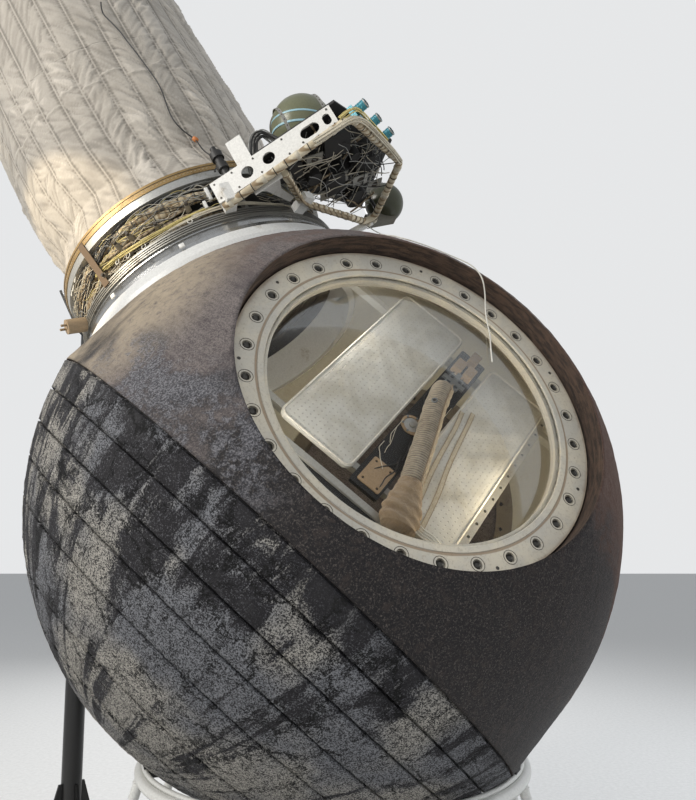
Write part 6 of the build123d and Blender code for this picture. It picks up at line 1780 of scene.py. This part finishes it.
@dataclass
class Cabin:
    """What shows through the dome: padded panels, the ribbed hose and its cuff, straps, eyelet and screws."""

    face: float = 0.660
    thickness: float = 0.024
    reach: float = 0.756
    corner: float = 0.030
    crown: float = 0.0080
    dimple: float = 0.0016
    dimple_pitch: float = 0.080
    panels: tuple[tuple[float, float, float, float], ...] = ((-0.245, 0.640, 0.030, 0.334),
                                                             (-0.270, 0.610, -0.400, -0.125))
    hose: tuple[Place, ...] = ((0.292, -0.030), (0.180, -0.052), (0.060, -0.092), (-0.165, -0.154))
    hose_radius: float = 0.043
    strap_ends: tuple[tuple[float, float, float, float], ...] = ((0.300, -0.140, -0.258, -0.222),
                                                                 (0.330, -0.172, -0.262, -0.276))

    def panel(self, number: int, low_x: float, high_x: float, low_y: float, high_y: float) -> bpy.types.Object:
        """One padded panel: a crowned cover with pulled-in edges, dimples and a rolled border."""
        columns, rows = 96, 34
        mesh = bmesh.new()
        bmesh.ops.create_grid(mesh, x_segments=columns, y_segments=rows, size=1.0)
        half = Vector(((high_x - low_x) / 2.0, (high_y - low_y) / 2.0))
        middle = Vector(((high_x + low_x) / 2.0, (high_y + low_y) / 2.0))
        corner = self.corner
        for vert in mesh.verts:
            u, v = vert.co.x, vert.co.y
            flat = Vector((u * half.x, v * half.y))
            over = Vector((max(0.0, abs(flat.x) - half.x + corner), max(0.0, abs(flat.y) - half.y + corner)))
            if over.length > corner:
                pull = over.normalized() * corner
                flat = Vector(((half.x - corner + pull.x) * (1 if u > 0 else -1),
                               (half.y - corner + pull.y) * (1 if v > 0 else -1)))
            edge = min(half.x - abs(flat.x), half.y - abs(flat.y))
            crown = 1.0 - exp(-max(0.0, edge) / 0.014)
            place = middle + flat
            if place.length > self.reach:
                place *= self.reach / place.length
                crown *= 0.4
            soft = noise.noise(Vector((place.x * 9.0, place.y * 9.0, number * 3.0)))
            wave_x, wave_y = (cos(2.0 * pi * part / self.dimple_pitch) for part in place)
            dimple = 0.5 + 0.5 * wave_x * wave_y
            height = self.crown * crown * (0.75 + 0.35 * soft) - self.dimple * crown * dimple
            vert.co = CABIN.point(place.x, place.y, self.face - 0.0085 + height)
        border = [edge for edge in mesh.edges if edge.is_boundary]
        added = bmesh.ops.extrude_edge_only(mesh, edges=border)["geom"]
        for vert in (item for item in added if isinstance(item, bmesh.types.BMVert)):
            vert.co -= CABIN.outward * (self.thickness - 0.0095)
        back = [edge for edge in mesh.edges if edge.is_boundary]
        bmesh.ops.edgeloop_fill(mesh, edges=back)
        bmesh.ops.recalc_face_normals(mesh, faces=mesh.faces)
        piece = keep(mesh, f"padded_panel_{number}", Coat.PANEL, outwards=False)
        sharpen(piece, 60.0)
        return piece

    def piping(self) -> None:
        """Rolled welts along the panels' borders."""
        routes = []
        for low_x, high_x, low_y, high_y in self.panels:
            route = []
            inset, corner = 0.006, 0.026
            for (cx, cy), start in (((high_x, high_y), 0), ((low_x, high_y), 90), ((low_x, low_y), 180),
                                    ((high_x, low_y), 270)):
                at_x = cx - (inset + corner) * (1 if cx == high_x else -1)
                at_y = cy - (inset + corner) * (1 if cy == high_y else -1)
                for turn in range(start, start + 91, 30):
                    route.append(Vector((at_x + corner * cos(radians(turn)), at_y + corner * sin(radians(turn)))))
            dense = []
            for first, second in zip(route, (*route[1:], route[0])):
                pieces = max(1, round((second - first).length / 0.04))
                dense += [first.lerp(second, share / pieces) for share in range(pieces)]
            dense.append(dense[0])
            line = []
            for place in dense:
                if place.length > self.reach - 0.006:
                    place = place * ((self.reach - 0.006) / place.length)
                line.append(CABIN.point(place.x, place.y, self.face - 0.0060))
            routes.append(line)
        tubes("panel_welts", routes, 0.0038, Coat.WELT, sides=8, steps=2)

    def ribbed(self) -> None:
        """The ribbed cloth hose, with its lacing seam, and the folded cuff at its lower end."""
        level = self.face + 0.0003 + self.hose_radius
        route = [CABIN.point(x, y, level) for x, y in self.hose]
        steps = 250
        way = stations(route, steps)
        mesh = bmesh.new()
        folds = mesh.verts.layers.float.new("fold")
        outlines, rib_shading = [], []
        for step in range(steps):
            rib = 0.5 + 0.5 * sin(2.0 * pi * step / 5.2 + 1.5 * noise.noise(Vector((step * 0.05, 0.0, 7.0))))
            end = 0.90 + 0.10 * min(1.0, step / 6.0)
            outline = []
            for side in range(40):
                turn = 2.0 * pi * side / 40
                wrinkle = noise.noise(Vector((step * 0.11, 2.2 * cos(turn), 2.2 * sin(turn))))
                size = self.hose_radius * end * (0.890 + 0.085 * rib * (0.8 + 0.3 * wrinkle) + 0.030 * wrinkle)
                outline.append((size * cos(turn), size * sin(turn), 0.0012 * wrinkle))
                # painted light: this value darkens the cloth between the ribs as painted shade and lightens their
                # crowns as painted highlights
                rib_shading.append(min(1.0, max(0.0, 0.10 + 0.75 * rib + 0.25 * wrinkle)))
            outlines.append(outline)
        rings(mesh, way, outlines)
        # stores the painted rib shade and highlights in the fold layer
        for vert, depth in zip(mesh.verts, rib_shading):
            vert[folds] = depth
        hose = keep(mesh, "ribbed_hose", Coat.HOSE)
        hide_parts("suit_hose")
        seam = [place @ Vector((0.0425 * cos(radians(62.0)), 0.0425 * sin(radians(62.0)), 0.0)) for place in way[::8]]
        tubes("hose_seam", [seam], 0.0022, Coat.CUFF, steps=2)
        eyelet = way[62] @ turned(28.0)
        spot = eyelet @ moved(0.0, 0.0405, 0.0) @ turned(-90.0, "X")
        hoops("hose_eyelet", [(spot @ moved(0.0, 0.0, 0.002), 0.0070)], 0.0055, 0.0065, Coat.BUCKLE,
              sides=24)
        # a dark disc painted as the shade in the eyelet's hole
        discs("hose_eyelet_hole_shade", [spot], 0.0071, 0.0022, Coat.MARK, sides=20, taper=1.0)
        self.cuff(route[-1], (route[-1] - route[-2]).normalized())

    def cuff(self, start: Vector, away: Vector) -> None:
        """The cuff of the hose, a flattened sleeve of cloth in loose folds."""
        side = away.cross(CABIN.outward).normalized()
        up = side.cross(away)
        basis = Matrix((side, up, away)).transposed().to_4x4()
        mesh = bmesh.new()
        places, outlines = [], []
        steps = 60
        for step in range(steps):
            share = step / (steps - 1)
            along = 0.190 * share
            long_radius = 0.043 + 0.029 * min(1.0, share * 1.7) - 0.006 * max(0.0, share - 0.8) * 5.0
            short_radius = 0.041 + 0.003 * share
            places.append(Matrix.Translation(start + away * along + CABIN.outward * (0.008 * share)) @ basis)
            outline = []
            for turn_step in range(64):
                turn = 2.0 * pi * turn_step / 64
                fold = noise.noise(Vector((share * 5.0, 1.6 * cos(turn), 1.6 * sin(turn)))) \
                    + 0.5 * noise.noise(Vector((share * 16.0, 4.0 * cos(turn), 4.0 * sin(turn))))
                pleat = sin(2.0 * pi * (share * 4.5 + 0.35 * cos(turn)))
                size = 0.925 + 0.075 * fold + 0.045 * pleat * (0.3 + share)
                outline.append((long_radius * size * cos(turn), short_radius * size * sin(turn), 0.0))
            outlines.append(outline)
        rings(mesh, places, outlines)
        cuff = keep(mesh, "folded_cuff", Coat.CUFF)
        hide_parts("hose_cuff")

    def straps(self) -> None:
        """Flat webbing with brown edges that lies over the right panel in low waves."""
        first: bpy.types.Object | None = None
        edges: list[list[Vector]] = []
        for number, (ax, ay, bx, by) in enumerate(self.strap_ends):
            mesh = bmesh.new()
            run = Vector((bx - ax, by - ay))
            side = Vector((-run.y, run.x)).normalized()
            loops, left, right = [], [], []
            for step in range(61):
                share = step / 60.0
                at = Vector((ax, ay)) + run * share + side * (0.0030 * sin(share * 9.0 + number))
                lift = self.face + 0.0006 + 0.0016 * (1.0 + sin(share * 17.0 + 2.0 * number)) * min(1.0, 6.0 * share)
                loops.append([CABIN.point(*(at + side * offset), lift + height) for offset, height in
                              ((-0.0090, 0.0), (-0.0030, 0.0), (0.0030, 0.0), (0.0090, 0.0), (0.0090, 0.0022),
                               (0.0030, 0.0028), (-0.0030, 0.0028), (-0.0090, 0.0022))])
                if step % 4 == 0:
                    for edge, offset in ((left, -0.0082), (right, 0.0082)):
                        edge.append(CABIN.point(*(at + side * offset), lift + 0.0022))
            skin(mesh, loops)
            piece = sharpen(keep(mesh, f"webbing_{number + 1}", Coat.WEBBING), 50.0)
            first = first or piece
            edges += [left, right]
        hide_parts("harness_straps")
        tubes("webbing_edges", edges, 0.0011, Coat.CUFF, sides=4, steps=2)

    def small(self) -> None:
        """Screws, a dial, wires and bunched lines on the rails, the spine and the plate."""
        spots = [(-0.320, y, 0.6325) for y in (-0.30, -0.16, -0.02, 0.12, 0.26, 0.40)]
        spots += [(0.090 + x, -0.030 + y, 0.6576) for x, y in circle(0.0365, 6)]
        screws = [CABIN.matrix(z) @ moved(x, y, 0.0) for x, y, z in spots]
        discs("cabin_screws", screws, 0.0048, 0.0026, Coat.BUCKLE, sides=14)
        dial = CABIN.matrix(0.6526) @ moved(0.090, -0.030, 0.0)
        discs("dial_face", [dial], 0.0315, 0.0030, Coat.BAND, sides=40, taper=0.96)
        discs("dial_core", [dial @ moved(0.0, 0.0, 0.0029)], 0.0120, 0.0060, Coat.RAIL,
              sides=28)
        random = Random(9)
        routes = []
        for _ in range(18):
            x, y = random.uniform(-0.24, 0.50), random.uniform(-0.092, -0.012)
            heading, route = random.uniform(-0.5, 0.5), []
            for _ in range(7):
                route.append(CABIN.point(x, y, random.uniform(0.655, 0.664)))
                heading += random.uniform(-0.4, 0.4)
                x = max(-0.25, min(0.58, x + 0.022 * cos(heading)))
                y = max(-0.100, min(0.006, y + 0.022 * sin(heading)))
            routes.append(route)
        tubes("spine_wires", routes[:9], 0.0014, Coat.CREAM, sides=5)
        tubes("spine_wires_dark", routes[9:], 0.0022, Coat.BLACK_WIRE, sides=5)
        lines = [[CABIN.point(x + shift, y, 0.6645 + 0.003 * step) for x, y in
                  ((-0.262, -0.250), (-0.268, -0.285), (-0.258, -0.320), (-0.270, -0.352))]
                 for step, shift in enumerate((-0.012, -0.004, 0.004, 0.012))]
        tubes("strap_bundle", lines, 0.0030, Coat.LEAD_WHITE)

    def build(self) -> None:
        """Builds what the dome shows."""
        first, _ = (self.panel(number + 1, *edges) for number, edges in enumerate(self.panels))
        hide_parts("cabin_panels")
        self.piping()
        self.ribbed()
        self.straps()
        self.small()


@dataclass
class Ends:
    """Small metalwork of the stand, the column and the airlock's far end: welds, nuts and screws."""

    middle: Place = (0.028, 0.004)
    collar_ring: Place = (0.74808, 0.588)
    floor_ring: Place = (0.90608, 0.084)
    legs: int = 8
    phase: float = 20.0
    column: Place = (-1.16807, 0.42514)
    top_level: float = 3.350
    top_shift: float = -0.060

    def welds(self) -> None:
        """Uneven weld beads where the legs meet the rings."""
        beads: list[list[Vector]] = []
        for number in range(self.legs):
            outward = direction(self.phase + number * 360.0 / self.legs, 0.0)
            head = Vector((*self.middle, self.collar_ring[1])) + outward * self.collar_ring[0]
            foot = Vector((*self.middle, self.floor_ring[1])) + outward * self.floor_ring[0]
            ahead = (head - foot).normalized()
            turn = ahead.to_track_quat("Z", "Y").to_matrix()
            for end, sign, gap in ((head, -1.0, 0.0215), (foot, 1.0, 0.0165)):
                bead = []
                for step in range(0, 361, 20):
                    spot = turn @ Vector((cos(radians(step)), sin(radians(step)), 0.0)) * 0.0195
                    across = abs(spot.dot(Vector((-outward.y, outward.x, 0.0)))) / 0.0195
                    rise = gap * sqrt(max(0.0, 1.0 - 0.72 * across * across))
                    bead.append(end + spot + ahead * (sign * rise))
                beads.append(bead)
        tubes("leg_welds", beads, 0.0030, Coat.STAND)

    def nuts(self) -> None:
        """Nuts on the foot plates and on the column's base plate, and screws round the far bulkhead."""
        feet = []
        for number in range(self.legs):
            azimuth = self.phase + number * 360.0 / self.legs
            outward = direction(azimuth, 0.0)
            for turn in (45.0, 135.0, 225.0, 315.0):
                spot = Vector((*self.middle, 0.0760)) + outward * self.floor_ring[0]
                feet.append(Matrix.Translation(spot + direction(azimuth + turn, 0.0) * 0.038))
        discs("foot_nuts", feet, 0.0060, 0.0050, Coat.PIN, sides=6, taper=0.96)
        base = []
        facing = direction(160.0, 0.0)
        side = Vector((-facing.y, facing.x, 0.0))
        for u in (-0.145, 0.145):
            for v in (-0.145, 0.145):
                base.append(Matrix.Translation(Vector((*self.column, 0.012)) + facing * u + side * v))
        discs("base_nuts", base, 0.0150, 0.0120, Coat.PIN, sides=6, taper=0.97)
        rim = [AIRLOCK.matrix(self.top_level + 0.014) @ moved(self.top_shift, 0.0, 0.0) @ turned(turn)
               @ moved(0.568, 0.0, 0.0) for turn in range(0, 360, 12)]
        discs("bulkhead_screws", rim, 0.0085, 0.0060, Coat.PIN, sides=6, taper=0.94)

    def build(self) -> None:
        """Builds the stand's and the far end's small pieces."""
        self.welds()
        self.nuts()


def dress_nodes() -> None:
    """Gives every CAD node that shows its finish."""
    coats = {
        Coat.WINDWARD: ("windward_shield",),
        Coat.RECESS: ("leeward_shell",),
        Coat.LEEWARD: ("rear_hatch_cover",),
        Coat.LINER: ("cabin_liner",),
        Coat.RING: ("hatch_frame", "dome_retainer"),
        Coat.LEAD_WHITE: ("white_lead",),
        Coat.BLACK_WIRE: ("black_lead",),
        Coat.SEAT: ("hatch_seats",),
        Coat.DOME: ("hatch_dome",),
        Coat.COLLAR: ("airlock_collar",),
        Coat.POLISHED: ("airlock_adapter",),
        Coat.RIBBED: ("bay_lower_ring", "bay_posts"),
        Coat.BAND: ("bay_upper_ring",),
        Coat.DARK: ("bay_wall", "console_equipment", "console_shelf", "console_valve"),
        Coat.TAPED: ("bay_conduits",),
        Coat.FRAME_TAPE: ("console_frame",),
        Coat.CANISTER: ("bay_canisters",),
        Coat.VALVE: ("side_valve",),
        Coat.GOLD: ("sleeve_clamp",),
        Coat.SLEEVE: ("airlock_sleeve", "sleeve_middle", "sleeve_head"),
        Coat.TOP: ("top_ring", "top_bulkhead", "outer_hatch", "top_handrails"),
        Coat.PIN: ("hinge_pins",),
        Coat.WHITE: ("console_bar", "console_upright", "console_brackets"),
        Coat.OLIVE: ("large_bottle",),
        Coat.DARK_OLIVE: ("small_bottle",),
        Coat.STRAP: ("bottle_seats", "bottle_strap"),
        Coat.BLUE: ("connectors",),
        Coat.STAND: ("stand_upper_ring", "stand_collar_ring", "stand_floor_ring", "stand_legs", "stand_feet"),
        Coat.WOOD: ("stand_blocks",),
        Coat.RUBBER: ("stand_pads",),
        Coat.COLUMN: ("column_post", "column_base", "column_saddle"),
        Coat.PANEL: ("cabin_panels",),
        Coat.RAIL: ("cabin_rails", "perforated_rail"),
        Coat.BLACK: ("cabin_spine", "cabin_box"),
        Coat.FITTING: ("spine_fittings",),
        Coat.BUCKLE: ("harness_buckle",),
        Coat.HOSE: ("suit_hose",),
        Coat.CUFF: ("hose_cuff", "harness_straps"),
    }
    for coat, nodes in coats.items():
        for node in nodes:
            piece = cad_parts[node]
            piece.data.materials.clear()
            piece.data.materials.append(coat.material)


def main() -> None:
    """Builds the whole scene in order."""
    logging.basicConfig(level=logging.INFO, format="%(message)s")
    Studio().build()
    Leads().build()
    dress_nodes()
    for assembly in (Ball(), Sleeve(), HatchRing(), Bay(), Console(), Cabin(), Ends()):
        assembly.build()
        log.info("%s built", type(assembly).__name__)


if __name__ == "__main__":
    main()
